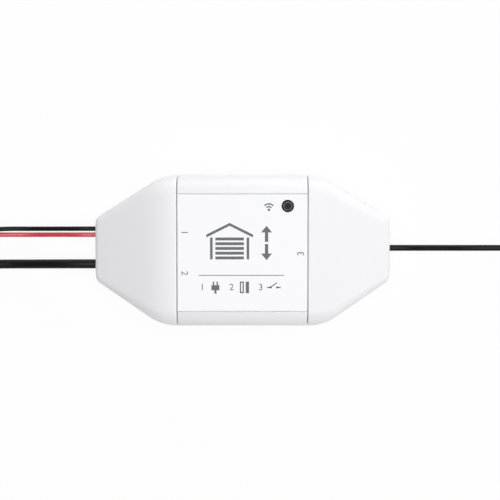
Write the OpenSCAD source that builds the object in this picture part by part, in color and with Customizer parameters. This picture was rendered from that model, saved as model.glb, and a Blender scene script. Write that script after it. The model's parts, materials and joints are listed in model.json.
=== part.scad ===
// Garage door controller: a small white housing with tapered ends, lying on its back.
// Origin: centre of the flat back. +X: towards the signal cable. +Z: out of the face panel.

/* [Housing] */
// Length of the housing from end face to end face
body_len = 82; // [80:0.5:96]
// Width of the housing
body_w = 41; // [40:0.5:50]
// Height of the centre section
body_h = 22; // [20.5:0.5:27]
// Length of the straight centre section between the seams
centre_len = 35.6; // [35:0.2:40]
// Width of each end face before its corners are rounded
end_w = 17.2; // [16:0.2:22]
// Height of each end face before its edge is rounded
end_h = 12.5; // [11.5:0.25:16]
// Height of the parting line between the base and the covers
split_h = 7.5; // [7.2:0.1:8.4]
// Wall thickness of the shells
wall = 1.8; // [1.4:0.1:2.2]
// Radius of the shoulders along the top edges of the centre section
shoulder_r = 4.5; // [3.6:0.1:5.2]
// Radius that the shoulders narrow to at the end faces
shoulder_end_r = 2.2; // [1.6:0.1:3.6]
// Radius of the edge round the back
foot_r = 1.4; // [0.6:0.1:1.8]
// Radius that blends the sides into the tapered ends
taper_r = 15; // [8:0.5:18]
// Radius that blends the top into the sloping ends
slope_r = 20; // [8:0.5:30]
// Radius of the upright corners at the end faces
corner_r = 2.2; // [1:0.1:3]
// Radius of the top edge of the end faces
nose_r = 2; // [1.4:0.1:3]
// Gap at the seams between the covers
seam_gap = 0.25; // [0.15:0.05:0.5]

/* [Face panel] */
// Width of the cover beside the inset face panel, at each long side
panel_side = 4.5; // [4:0.1:5.5]
// Thickness of the face panel
panel_t = 0.8; // [0.5:0.1:1]
// Groove beside each long edge of the face panel
panel_groove = 0.3; // [0.15:0.05:0.5]

/* [Button] */
// Place of the button along the housing
button_x = 12.4; // [11:0.1:13.5]
// Distance of the button from the long side of the housing
button_side = 7.7; // [7.5:0.1:8.9]
// Diameter of the button hole
button_hole_d = 3.4; // [3:0.1:4]
// Diameter of the plunger where it shows
button_d = 2.6; // [2:0.1:2.8]
// Height of the plunger above the panel
button_proud = 0.2; // [0:0.05:0.6]
// Travel of the push switch
button_travel = 0.3; // [0.2:0.05:0.4]

/* [Cords] */
// Diameter of the red and black power wires
wire_d = 1.3; // [1:0.1:1.6]
// Diameter of the sensor cable
sensor_d = 2.6; // [2.2:0.1:3]
// Diameter of the signal cable
signal_d = 1.7; // [1.4:0.1:2.2]
// Play between a cord and its hole in the housing
cord_play = 0.12; // [0.05:0.01:0.2]

/* [Electronics] */
// Length of the circuit board
board_len = 34; // [33:0.2:34.4]
// Distance of the circuit board from the long sides of the housing
board_side = 4; // [3.8:0.1:4.5]
// Thickness of the circuit board
board_t = 1.6; // [1:0.1:1.8]
// Height of the posts under the circuit board
board_stand = 1.8; // [1.2:0.1:2]
// Length of the relay
relay_len = 15; // [12:0.5:16]
// Width of the relay
relay_w = 7.4; // [6:0.2:8]
// Height of the relay
relay_h = 10; // [6:0.5:11]
// Diameter of the filter capacitor
capacitor_d = 6.3; // [4:0.1:6.5]
// Height of the filter capacitor
capacitor_h = 7.7; // [5:0.1:10]

/* [Fasteners] */
// Shank diameter of the screws that hold the end caps
cap_screw_d = 1.9; // [1.6:0.1:2.2]
// Head diameter of the screws that hold the end caps
cap_screw_head_d = 3.8; // [3.4:0.1:4.4]
// Shank diameter of the small screws inside
small_screw_d = 1.5; // [1.2:0.1:1.7]
// Head diameter of the small screws inside
small_screw_head_d = 3.2; // [2.8:0.1:3.6]

/* [Hidden] */
$fn = 48;

// Housing: lengths and angles that follow from the driving sizes
over = 1;
half_len = body_len / 2;
half_centre = centre_len / 2;
cap_len = half_len - half_centre;
side_drop = (body_w - end_w) / 2;
panel_w = body_w - 2 * panel_side;
button_y = body_w / 2 - button_side;
board_w = body_w - 2 * board_side;
top_drop = body_h - end_h;
side_angle = taper_angle(cap_len, side_drop, taper_r);
top_angle = taper_angle(cap_len, top_drop, slope_r);
blend_len = max(taper_r * sin(side_angle), slope_r * sin(top_angle));
nose_len = max(nose_r * (1 - sin(top_angle)), corner_r * (1 - sin(side_angle)));
arc_steps = 7;
blend_steps = 8;
nose_steps = 7;
line_steps = 3;
foot_steps = 4;
shoulder_foot = 0.5;
inner_edge = 0.3;

// Cords: where they leave the end faces, and the height of their centre lines there
wire_z = split_h;
red_y = 3.9;
black_y = 5.6;
sensor_y = -4.3;
signal_y = 0.2;
left_cords = [[red_y, wire_d], [black_y, wire_d], [sensor_y, sensor_d]];
right_cords = [[signal_y, signal_d]];
core_share = 0.4;
core_spread = 0.5;
strip_len = 15;

// Screws, posts and clamps
screw_play = 0.06;
screw_tip = 0.5;
screw_edge = 0.4;
screw_spare = 1;
head_play = 0.25;
cap_screw_inset = 6.7;
cap_post_wall = 2;
cap_post_sink = 0.4;
cap_post_d = cap_screw_d + 2 * cap_post_wall;
cap_screw_x = half_centre + cap_screw_inset;
cap_screw_y = half_width(cap_screw_x, wall) - cap_post_d / 2 + cap_post_sink;
head_h = 1.4;
head_sink = 3;
cap_pilot_len = 8;
clamp_inset = 9.5;
clamp_out = 1.7;
clamp_screw_inset = 2;
clamp_t = 2.4;
clamp_depth = 4;
clamp_x = half_len - clamp_inset;
clamp_len = end_w + 2 * clamp_out;
clamp_screw_y = clamp_len / 2 - clamp_screw_inset;
clamp_gap = 0.3;
grip_play = 0.05;
clamp_pilot_len = 5;
board_post_d = 4.2;
board_pilot_len = board_stand;

// Circuit board and what stands on it
board_z = wall + board_stand;
board_top = board_z + board_t;
board_corner_r = 1.5;
board_screw_inset = 2.6;
board_screw_places = [for (side = [[-1, 1], [-1, -1], [1, -1]])
    [side[0] * (board_len / 2 - board_screw_inset), side[1] * (board_w / 2 - board_screw_inset)]];
board_rest_place = -board_screw_places[1];
header_len = 6;
header_h = 2 * (wire_z - board_top);
header_edge = 0.5;
header_wall = 1;
header_x = board_len / 2 - header_edge - header_len;
module_size = [18, 12.6, 0.8];
chip_size = [1.6, 0.8, 0.5];
chip_pitch = 2.3;
chip_count = 6;
row_gap = (board_w - module_size[1] - chip_size[1] - relay_w - capacitor_d) / 5;
module_y = -board_w / 2 + row_gap + module_size[1] / 2;
chip_y = module_y + (module_size[1] + chip_size[1]) / 2 + row_gap;
relay_y = chip_y + (chip_size[1] + relay_w) / 2 + row_gap;
capacitor_y = relay_y + (relay_w + capacitor_d) / 2 + row_gap;
module_pos = [0, module_y];
shield_size = [11.6, 11, 2];
shield_t = 0.2;
shield_edge = 0.6;
relay_pos = [0.5, relay_y];
capacitor_pos = [-8, capacitor_y];
capacitor_neck = 0.25;
capacitor_bead = 0.4;
regulator_pos = [0.8, capacitor_y];

// Push switch, plunger and lamp
switch_w = 6;
switch_h = 3.2;
switch_plate_t = 0.3;
switch_well_d = 4.8;
stem_d = 3.4;
stem_flange_d = 4.4;
stem_flange_h = 1;
stem_up = 1.5;
stem_play = 0.1;
switch_top = board_top + switch_h + switch_plate_t;
stem_flange_top = board_top + switch_h - stem_play;
stem_top = switch_top + stem_up;
dome_d = 4.2;
dome_t = 0.1;
dome_gap = 0.05;
dome_rest = 0.75;
dome_high = stem_flange_top - stem_flange_h - dome_gap;
dome_low = dome_high - dome_rest - button_travel;
plunger_play = 0.09;
plunger_step = 4.5;
plunger_flange_d = 5;
plunger_flange_h = 0.8;
plunger_edge = 0.25;
guide_t = 1.1;
guide_gap = 0.4;
guide_low = stem_top + plunger_flange_h + guide_gap;
led_beside = [-5.1, -0.5];
led_pos = [button_x, button_y] + led_beside;
led_size = [1.6, 0.8, 0.7];
pipe_d = 2.2;
pipe_flange_d = 3.2;
pipe_flange_h = 0.8;
pipe_play = 0.05;
pipe_gap = 0.3;

// Snap hooks and tongues of the centre cover
hook_inset = 7.8;
hook_x = half_centre - hook_inset;
hook_w = 4;
hook_t = 1.1;
hook_drop = 3;
hook_nose = 0.5;
hook_play = 0.2;
tongue_t = 0.9;
tongue_len = 1.5;
tongue_root = 2;
tongue_play = 0.35;

// Coils: centre, radius at the middle of the turns, turns across and layers
coil_lift = 0.5;
tie_t = 0.35;
tie_w = 2;
tie_play = 0.2;
power_coil_at = [-81.5, 13.7];
power_coil_r = 7;
power_turns = 6;
power_layers = 2;
sensor_coil_at = [-122, 7.6];
sensor_coil_r = 13;
sensor_turns = 3;
sensor_layers = 4;
signal_coil_at = [91, 10.9];
signal_coil_r = 8.7;
signal_turns = 4;
signal_layers = 4;
red_coil_z = coil_lift;
black_coil_z = coil_lift + power_layers * wire_d;
plug_at = [-94, 3.45, 2.5];
plug_size = [10, 7, 5];
plug_edge = 0.8;

// Routes of the free stretches of cord, from the housing to the coil and from the coil to the end
red_route = [[-41, 3.9, 7.5], [-43, 3.9, 7.5], [-45.5, 3.89, 7.3], [-48, 3.83, 6.6], [-50.5, 3.75, 5.4],
    [-53, 3.65, 4.1], [-55.5, 3.55, 2.8], [-58, 3.47, 1.7], [-61, 3.41, 0.9], [-65, 3.4, 0.7],
    [-69, 3.4, 0.7], [-73, 3.41, 0.8], [-77, 3.43, 1], [-81.5, 3.45, 1.1]];
red_end_route = [[-81.5, 3.45, 2.4], [-84.5, 3.45, 2.4], [-87.5, 3.3, 2.4], [-90.5, 2.9, 2.5],
    [-94, 2.6, 2.5]];
black_route = [[-41, 5.6, 7.5], [-43, 5.6, 7.5], [-45.5, 5.59, 7.3], [-48, 5.53, 6.6], [-50.5, 5.45, 5.4],
    [-53, 5.35, 4.1], [-55.5, 5.25, 2.8], [-58, 5.17, 1.7], [-61, 5.11, 0.9], [-65, 5.1, 0.7],
    [-69, 5, 1.1], [-73, 4.6, 2.6], [-77, 3.9, 3.8], [-81.5, 3.45, 3.8]];
black_end_route = [[-81.5, 3.45, 5], [-84.5, 3.5, 4.9], [-87.5, 3.8, 4.1], [-90.5, 4.2, 3],
    [-94, 4.3, 2.5]];
sensor_route = [[-41, -4.3, 7.5], [-44.5, -4.3, 7.5], [-48.5, -4.34, 7.1], [-52.5, -4.44, 6.1],
    [-56.5, -4.58, 4.6], [-60.5, -4.73, 3.1], [-65, -4.84, 1.9], [-71, -5, 1.4], [-77, -5.6, 1.3],
    [-83, -6.5, 1.3], [-89, -7.4, 1.3], [-95, -7.9, 1.3], [-101, -8, 1.3], [-108, -8, 1.4], [-115, -8, 1.7],
    [-122, -8, 1.8]];
sensor_end_route = [[-122, 23.2, 9.6], [-117, 23.2, 9.3], [-112, 23.2, 7.6], [-107.5, 23.2, 5],
    [-103.5, 23.2, 2.7], [-98, 23.2, 1.4]];
signal_route = [[41, 0.2, 7.5], [43.5, 0.2, 7.5], [46.5, 0.18, 7.2], [49.5, 0.1, 6.3], [52.5, 0, 5],
    [55.5, -0.11, 3.6], [59, -0.23, 2.2], [63, -0.3, 1.3], [67.5, -0.33, 0.9], [72, -0.33, 0.9],
    [77, -0.34, 0.9], [81.5, -0.35, 1], [86, -0.35, 1.2], [91, -0.35, 1.4]];
signal_end_route = [[91, -0.35, 6.4], [94, -0.35, 6.1], [97, -0.35, 4.6], [100, -0.35, 2.7],
    [103, -0.35, 1.2], [106, -0.35, 0.9]];
core_len = 7.5;
core_bare = 4;

// Angle of the straight slope that leaves its blend arc without a corner
function taper_angle(run, drop, r) =
    2 * atan((run - sqrt(run * run - (2 * r - drop) * drop)) / (2 * r - drop));

// Half width, or height, of the housing at a place along it: straight, blend, slope, rounded corner
function end_profile(x, full, drop, angle, r_blend, r_end, inset) =
    let (s = abs(x) - half_centre,
        blend = r_blend - inset,
        corner = max(r_end - inset, inner_edge),
        lean = tan(angle) - 1 / cos(angle),
        low = full - drop + inset * lean,
        to_end = max(cap_len - inset - s, 0))
    s <= 0 ? full - inset
    : s < blend * sin(angle) ? full - inset - blend + sqrt(blend * blend - s * s)
    : to_end > corner * (1 - sin(angle)) ? low + to_end * tan(angle)
    : low + corner * lean + sqrt(max(corner * corner - pow(corner - to_end, 2), 0));

function half_width(x, inset) =
    end_profile(x, body_w / 2, side_drop, side_angle, taper_r, corner_r, inset);
function top_height(x, inset) =
    end_profile(x, body_h, top_drop, top_angle, slope_r, nose_r, inset);

// Stations along one end cap, from a start beside the seam to the end face
function cap_stations(start, inset) =
    let (end = cap_len - inset, line = end - nose_len - blend_len)
    concat([start],
        [for (i = [1 : blend_steps]) blend_len * i / blend_steps],
        [for (i = [1 : line_steps - 1]) blend_len + line * i / line_steps],
        [for (i = [0 : nose_steps]) end - nose_len * (1 - sin(90 * i / nose_steps))]);

// Radius of the shoulders at a place along an end cap, limited by the height above the parting line
function cap_shoulder(x, h, inset) =
    let (share = min(max((abs(x) - half_centre) / cap_len, 0), 1),
        r = shoulder_r + (shoulder_end_r - shoulder_r) * share)
    max(min(r - inset, h - split_h - shoulder_foot), inner_edge);

// Arch-shaped ring across an end cap, with round shoulders, open towards the parting line
function arch_ring(x, inset, low) =
    let (w = half_width(x, inset), h = top_height(x, inset), r = cap_shoulder(x, h, inset),
        arc = [for (i = [0 : arc_steps]) [cos(90 * i / arc_steps), sin(90 * i / arc_steps)]])
    concat([[x, w, low]],
        [for (p = arc) [x, w - r + r * p[0], h - r + r * p[1]]],
        [for (i = [arc_steps : -1 : 0]) [x, -w + r - r * arc[i][0], h - r + r * arc[i][1]]],
        [[x, -w, low]]);

// Outline of the housing seen from above, drawn in by an inset
function plan(inset) =
    let (right = [for (s = cap_stations(0, inset)) half_centre + s],
        count = len(right))
    concat([for (x = right) [x, half_width(x, inset)]],
        [for (i = [count - 1 : -1 : 0]) [right[i], -half_width(right[i], inset)]],
        [for (x = right) [-x, -half_width(x, inset)]],
        [for (i = [count - 1 : -1 : 0]) [-right[i], half_width(right[i], inset)]]);

function unit(v) = v / norm(v);

// Ring of a swept tube: the frame stays level, so every route stays clear of the vertical
function tube_ring(route, i, r, sides) =
    let (ahead = route[min(i + 1, len(route) - 1)] - route[max(i - 1, 0)],
        t = unit(ahead),
        across = unit(cross([0, 0, 1], t)),
        up = cross(t, across))
    [for (k = [0 : sides - 1]) let (a = 360 * (k + 0.5) / sides)
        route[i] + r * (cos(a) * across + sin(a) * up)];

// Closed skin through a list of rings with equally many points
module loft(rings) {
    n = len(rings[0]);
    last = len(rings) - 1;
    points = [for (ring = rings) each ring];
    sides = [for (i = [0 : last - 1]) for (j = [0 : n - 1])
        [i * n + j, (i + 1) * n + j, (i + 1) * n + (j + 1) % n, i * n + (j + 1) % n]];
    start = [for (j = [0 : n - 1]) j];
    end = [for (j = [n - 1 : -1 : 0]) last * n + j];
    polyhedron(points, concat([start], sides, [end]), convexity = 6);
}

module tube(route, d) {
    sides = 8;
    loft([for (i = [0 : len(route) - 1]) tube_ring(route, i, d / 2, sides)]);
}

// Rod along X between two places
module rod_x(from, to, y, z, d) {
    translate([from, y, z])
        rotate([0, 90, 0])
            cylinder(d = d, h = to - from);
}

// Upright rod between two heights
module post(at, low, high, d) {
    translate([at[0], at[1], low])
        cylinder(d = d, h = high - low);
}

module both_sides() {
    for (side = [-1, 1])
        scale_y(side)
            children();
}

module scale_y(side) {
    mirror([0, side < 0 ? 1 : 0, 0])
        children();
}

module at_left() {
    mirror([1, 0, 0])
        children();
}

// Section of the centre cover, in Y and Z, drawn in by an inset
module arch(inset, low) {
    w = body_w / 2 - inset;
    top = body_h - inset;
    r = shoulder_r - inset;
    translate([-w, low])
        square([2 * w, top - r - low]);
    translate([-w + r, low])
        square([2 * (w - r), top - low]);
    for (side = [-1, 1])
        translate([side * (w - r), top - r])
            circle(r = r);
}

module along_x(from, to) {
    translate([from, 0, 0])
        rotate([90, 0, 90])
            linear_extrude(to - from)
                children();
}

// Holes for the cords through the end wall on the right
module cord_holes(cords) {
    for (cord = cords)
        rod_x(half_len - 3 * wall, half_len + over, cord[0], wire_z, cord[1] + 2 * cord_play);
}

// Grooves that hold the cords in the clamp on the right
module cord_grooves(cords) {
    for (cord = cords)
        rod_x(clamp_x - clamp_depth, clamp_x + clamp_depth, cord[0], wire_z, cord[1] + 2 * grip_play);
}

// Material that stands on the floor of one end of the base: screw posts and the cord saddle
module end_posts() {
    both_sides()
        post([cap_screw_x, cap_screw_y], 0, split_h + over, cap_post_d);
    translate([clamp_x - clamp_depth / 2, -clamp_len / 2, 0])
        cube([clamp_depth, clamp_len, wire_z - clamp_gap / 2]);
}

// Cuts in one end of the base: cord holes and screw holes
module end_cuts(cords) {
    cord_holes(cords);
    cord_grooves(cords);
    both_sides() {
        post([cap_screw_x, cap_screw_y], -over, split_h + over, cap_screw_d + 4 * screw_play);
        post([cap_screw_x, cap_screw_y], -over, head_sink, cap_screw_head_d + 2 * head_play);
        post([clamp_x, clamp_screw_y], wire_z - clamp_pilot_len, split_h + over,
            small_screw_d + 2 * screw_play);
    }
}

module hook_pockets() {
    for (x = [-hook_x, hook_x])
        both_sides()
            translate([x - hook_w / 2 - hook_play, body_w / 2 - wall - over, split_h - hook_drop - hook_play])
                cube([hook_w + 2 * hook_play, over + hook_nose + hook_play, hook_drop / 2 + 2 * hook_play]);
}

// Hollow of the base, less the posts that stand in it
module base_hollow() {
    difference() {
        translate([0, 0, wall])
            linear_extrude(split_h - wall + over)
                polygon(plan(wall));
        end_posts();
        at_left()
            end_posts();
        for (at = board_screw_places)
            post(at, 0, board_z, board_post_d);
        post(board_rest_place, 0, board_z, board_post_d);
    }
}

module base_shell() {
    foot = [for (i = [0 : foot_steps]) let (a = 90 * i / foot_steps)
        [foot_r * (1 - sin(a)), foot_r * (1 - cos(a))]];
    levels = concat(foot, [[0, split_h]]);
    color("white")
        difference() {
            loft([for (level = levels) [for (p = plan(level[0])) [p[0], p[1], level[1]]]]);
            base_hollow();
            end_cuts(right_cords);
            at_left()
                end_cuts(left_cords);
            hook_pockets();
            for (at = board_screw_places)
                post(at, board_z - board_pilot_len, board_z + over, small_screw_d + 2 * screw_play);
        }
}

// Tongue inside each end of the centre cover, which the end cap slides over
module cover_tongue() {
    along_x(half_centre - tongue_root, half_centre + seam_gap + tongue_len)
        difference() {
            arch(wall + tongue_play, split_h);
            arch(wall + tongue_play + tongue_t, split_h - over);
        }
    along_x(half_centre - tongue_root, half_centre - seam_gap)
        difference() {
            arch(wall - tongue_play, split_h);
            arch(wall + tongue_play + tongue_t, split_h - over);
        }
}

module snap_hook() {
    inner = body_w / 2 - wall - hook_play - hook_t;
    outer = inner + hook_t;
    translate([-hook_w / 2, 0, 0])
        rotate([90, 0, 90])
            linear_extrude(hook_w)
                polygon([[inner, split_h - hook_drop], [outer, split_h - hook_drop],
                    [outer + hook_nose, split_h - hook_drop / 2 - hook_nose],
                    [outer + hook_nose, split_h - hook_drop / 2], [outer, split_h - hook_drop / 2],
                    [outer, split_h + hook_play], [outer + wall / 2, split_h + hook_play],
                    [outer + wall / 2, split_h + hook_drop], [inner, split_h + hook_drop]]);
}

module centre_cover() {
    panel_seat = body_h - panel_t;
    color("white")
        difference() {
            union() {
                along_x(-half_centre, half_centre)
                    difference() {
                        arch(0, split_h);
                        arch(wall, split_h - over);
                        translate([-panel_w / 2 - panel_groove, panel_seat])
                            square([panel_w + 2 * panel_groove, panel_t + over]);
                    }
                cover_tongue();
                at_left()
                    cover_tongue();
                for (x = [-hook_x, hook_x])
                    translate([x, 0, 0])
                        both_sides()
                            snap_hook();
                post([button_x, button_y], guide_low, panel_seat, button_hole_d + 2 * guide_t);
            }
            post([button_x, button_y], guide_low - over, body_h + over, button_hole_d);
            post(led_pos, split_h, body_h + over, pipe_d + 2 * pipe_play);
        }
}

module face_panel() {
    color("white")
        difference() {
            translate([-half_centre, -panel_w / 2, body_h - panel_t])
                cube([centre_len, panel_w, panel_t]);
            post([button_x, button_y], 0, body_h + over, button_hole_d);
        }
}

// Upper end cover on the right: lofted outside and inside, with posts for its screws
module end_cap(cords) {
    difference() {
        loft([for (s = cap_stations(seam_gap, 0)) arch_ring(half_centre + s, 0, split_h)]);
        difference() {
            loft([for (s = cap_stations(-over, wall)) arch_ring(half_centre + s, wall, split_h - over)]);
            both_sides()
                post([cap_screw_x, cap_screw_y], 0, body_h, cap_post_d);
        }
        cord_holes(cords);
        both_sides()
            post([cap_screw_x, cap_screw_y], split_h - over, split_h + cap_pilot_len,
                cap_screw_d + 2 * screw_play);
    }
}

module right_cap() {
    color("white")
        end_cap(right_cords);
}

module left_cap() {
    color("white")
        at_left()
            end_cap(left_cords);
}

// Solid of revolution about an upright axis, from pairs of radius and height
module turned(at, outline) {
    translate([at[0], at[1], 0])
        rotate_extrude()
            polygon(outline);
}

module button_plunger() {
    low = stem_top;
    high = body_h + button_proud;
    shoulder = high - plunger_step;
    flange_top = low + plunger_flange_h;
    guided_r = button_hole_d / 2 - plunger_play;
    color("#343434")
        turned([button_x, button_y], [[0, low], [plunger_flange_d / 2, low],
            [plunger_flange_d / 2, flange_top], [guided_r, flange_top], [guided_r, shoulder],
            [button_d / 2, shoulder], [button_d / 2, high - plunger_edge],
            [button_d / 2 - plunger_edge, high], [0, high]]);
}

module switch_stem() {
    flange_low = stem_flange_top - stem_flange_h;
    color("#202020")
        turned([button_x, button_y], [[0, flange_low], [stem_flange_d / 2, flange_low],
            [stem_flange_d / 2, stem_flange_top], [stem_d / 2, stem_flange_top],
            [stem_d / 2, stem_top], [0, stem_top]]);
}

module switch_base() {
    color("#1c1c1c")
        difference() {
            translate([button_x - switch_w / 2, button_y - switch_w / 2, board_top])
                cube([switch_w, switch_w, switch_h]);
            post([button_x, button_y], dome_low, switch_top, switch_well_d);
        }
}

module switch_plate() {
    color("silver")
        difference() {
            translate([button_x - switch_w / 2, button_y - switch_w / 2, board_top + switch_h])
                cube([switch_w, switch_w, switch_plate_t]);
            post([button_x, button_y], board_top, switch_top + over, stem_d + 2 * stem_play);
        }
}

module switch_dome() {
    rise = dome_high - dome_low;
    r = (pow(dome_d / 2, 2) + rise * rise) / (2 * rise);
    color("silver")
        translate([button_x, button_y, dome_low])
            rotate_extrude()
                intersection() {
                    translate([0, rise - r])
                        difference() {
                            circle(r = r);
                            circle(r = r - dome_t);
                        }
                    square([dome_d, rise]);
                }
}

// Block that stands on the circuit board
module on_board(at, size) {
    translate([at[0] - size[0] / 2, at[1] - size[1] / 2, board_top])
        cube(size);
}

module indicator_led() {
    color("ivory")
        on_board(led_pos, led_size);
}

module light_pipe() {
    low = board_top + led_size[2] + pipe_gap;
    under = body_h - wall;
    high = body_h - panel_t;
    color("gainsboro")
        turned(led_pos, [[0, low], [pipe_d / 2, low], [pipe_d / 2, under - pipe_flange_h],
            [pipe_flange_d / 2, under - pipe_flange_h], [pipe_flange_d / 2, under], [pipe_d / 2, under],
            [pipe_d / 2, high], [0, high]]);
}

module circuit_board() {
    inner = [board_len - 2 * board_corner_r, board_w - 2 * board_corner_r];
    color("darkgreen")
        translate([0, 0, board_z])
            linear_extrude(board_t)
                difference() {
                    union() {
                        square([board_len, inner[1]], center = true);
                        square([inner[0], board_w], center = true);
                        for (x = [-1, 1], y = [-1, 1])
                            translate([x * inner[0] / 2, y * inner[1] / 2])
                                circle(r = board_corner_r);
                    }
                    for (at = board_screw_places)
                        translate(at)
                            circle(d = small_screw_d + 4 * screw_play);
                }
}

module wifi_module() {
    color("darkslategray")
        on_board(module_pos, module_size);
}

// Open-bottomed tin over the radio chip, standing on its small board
module wifi_shield() {
    low = board_top + module_size[2];
    x = module_pos[0] + (module_size[0] - shield_size[0]) / 2 - shield_edge;
    color("silver")
        translate([x, module_pos[1], low])
            difference() {
                translate([-shield_size[0] / 2, -shield_size[1] / 2, 0])
                    cube(shield_size);
                translate([-shield_size[0] / 2 + shield_t, -shield_size[1] / 2 + shield_t, -over])
                    cube([shield_size[0] - 2 * shield_t, shield_size[1] - 2 * shield_t,
                        shield_size[2] - shield_t + over]);
            }
}

module relay() {
    color("#2d4f8a")
        on_board(relay_pos, [relay_len, relay_w, relay_h]);
}

module filter_capacitor() {
    r = capacitor_d / 2;
    neck_r = r - capacitor_neck;
    bead = board_top + 3 * capacitor_bead;
    high = board_top + capacitor_h;
    color("lightsteelblue")
        turned(capacitor_pos, [[0, board_top], [r, board_top], [r, bead - capacitor_bead], [neck_r, bead],
            [r, bead + capacitor_bead], [r, high - capacitor_neck], [neck_r, high], [0, high]]);
}

module regulator() {
    body = [6.5, 3.5, 1.6];
    lead_t = 0.3;
    lead_out = 1.7;
    lead_pitch = 2.3;
    lead_w = 0.7;
    tab_w = 3;
    color("#222222")
        union() {
            on_board(regulator_pos, body);
            for (i = [-1 : 1])
                translate([regulator_pos[0] + i * lead_pitch - lead_w / 2,
                    regulator_pos[1] - body[1] / 2 - lead_out, board_top])
                    cube([lead_w, lead_out, lead_t]);
            translate([regulator_pos[0] - tab_w / 2, regulator_pos[1] + body[1] / 2, board_top])
                cube([tab_w, lead_out, lead_t]);
        }
}

module small_chips() {
    color("#5a4a3a")
        for (i = [0 : chip_count - 1])
            on_board([relay_pos[0] + (i - (chip_count - 1) / 2) * chip_pitch, chip_y], chip_size);
}

// Board connector on the right, with one well for each wire
module header(y, pitch, hole_d) {
    w = 2 * pitch + 2 * header_wall;
    difference() {
        translate([header_x, y - w / 2, board_top])
            cube([header_len, w, header_h]);
        for (side = [-1, 1])
            rod_x(header_x + header_wall, header_x + header_len + over, y + side * pitch / 2, wire_z, hole_d);
    }
}

core_play = 0.1;
header_wire_in = 3;
power_mid = (red_y + black_y) / 2;
power_pitch = black_y - red_y;
sensor_core_d = core_share * sensor_d;
sensor_pitch = core_spread * sensor_d;
signal_core_d = core_share * signal_d;
signal_pitch = core_spread * signal_d;
lead_end = header_x + header_len - header_wire_in;
jacket_end = half_len - strip_len;

module power_header() {
    color("ivory")
        at_left()
            header(power_mid, power_pitch, wire_d + 2 * core_play);
}

module sensor_header() {
    color("ivory")
        at_left()
            header(sensor_y, sensor_pitch, sensor_core_d + 2 * core_play);
}

module signal_header() {
    color("ivory")
        header(signal_y, signal_pitch, signal_core_d + 2 * core_play);
}

// Jacketed lead inside the right end: jacket through the clamp, then two cores to the header
module inner_lead(y, d, core_d, pitch) {
    union() {
        rod_x(jacket_end, half_len, y, wire_z, d);
        for (side = [-1, 1])
            rod_x(lead_end, jacket_end + over, y + side * pitch / 2, wire_z, core_d);
    }
}

module power_leads() {
    color("firebrick")
        at_left()
            for (y = [red_y, black_y])
                rod_x(lead_end, half_len, y, wire_z, wire_d);
}

module sensor_lead() {
    color("#161616")
        at_left()
            inner_lead(sensor_y, sensor_d, sensor_core_d, sensor_pitch);
}

module signal_lead() {
    color("#161616")
        inner_lead(signal_y, signal_d, signal_core_d, signal_pitch);
}

// Bar that presses the cords on their saddle, on the right
module clamp_bar(cords) {
    difference() {
        translate([clamp_x - clamp_depth / 2, -clamp_len / 2, wire_z + clamp_gap / 2])
            cube([clamp_depth, clamp_len, clamp_t]);
        cord_grooves(cords);
        both_sides()
            post([clamp_x, clamp_screw_y], 0, body_h, small_screw_d + 4 * screw_play);
    }
}

module right_clamp() {
    color("whitesmoke")
        clamp_bar(right_cords);
}

module left_clamp() {
    color("whitesmoke")
        at_left()
            clamp_bar(left_cords);
}

// Pan-head screw that points down, its head resting at a height
module screw_down(at, z, d, head_d, length) {
    tip = z - length;
    head_r = head_d / 2;
    turned(at, [[0, tip], [d / 4, tip], [d / 2, tip + screw_tip], [d / 2, z], [head_r, z],
        [head_r, z + head_h - screw_edge], [head_r - screw_edge, z + head_h], [0, z + head_h]]);
}

module clamp_screws() {
    z = wire_z + clamp_gap / 2 + clamp_t;
    color("silver")
        for (x = [-clamp_x, clamp_x])
            both_sides()
                screw_down([x, clamp_screw_y], z, small_screw_d, small_screw_head_d,
                    clamp_t + clamp_gap + clamp_pilot_len - screw_spare);
}

module cap_screws() {
    length = split_h - head_sink + cap_pilot_len - screw_spare;
    color("silver")
        for (x = [-cap_screw_x, cap_screw_x])
            both_sides()
                translate([x, cap_screw_y, head_sink])
                    mirror([0, 0, 1])
                        screw_down([0, 0], 0, cap_screw_d, cap_screw_head_d, length);
}

module board_screws() {
    color("silver")
        for (at = board_screw_places)
            screw_down(at, board_top, small_screw_d, small_screw_head_d, board_t + board_pilot_len - screw_tip);
}

module red_wire() {
    color("firebrick")
        tube(red_route, wire_d);
}

module red_tail() {
    color("firebrick")
        tube(red_end_route, wire_d);
}

module black_wire() {
    color("#161616")
        tube(black_route, wire_d);
}

module black_tail() {
    color("#161616")
        tube(black_end_route, wire_d);
}

module sensor_cable() {
    color("#161616")
        tube(sensor_route, sensor_d);
}

module sensor_tail() {
    color("#161616")
        tube(sensor_end_route, sensor_d);
}

module signal_cable() {
    color("#161616")
        tube(signal_route, signal_d);
}

module signal_tail() {
    color("#161616")
        tube(signal_end_route, signal_d);
}

// Outer shape of a round coil of cord
module coil(at, mid_r, turns, layers, d, z) {
    translate([at[0], at[1], z])
        rotate_extrude()
            translate([mid_r - turns * d / 2, 0])
                square([turns * d, layers * d]);
}

module red_coil() {
    color("firebrick")
        coil(power_coil_at, power_coil_r, power_turns, power_layers, wire_d, red_coil_z);
}

module black_coil() {
    color("#161616")
        coil(power_coil_at, power_coil_r, power_turns, power_layers, wire_d, black_coil_z);
}

module sensor_coil() {
    color("#161616")
        coil(sensor_coil_at, sensor_coil_r, sensor_turns, sensor_layers, sensor_d, coil_lift);
}

module signal_coil() {
    color("#161616")
        coil(signal_coil_at, signal_coil_r, signal_turns, signal_layers, signal_d, coil_lift);
}

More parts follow.
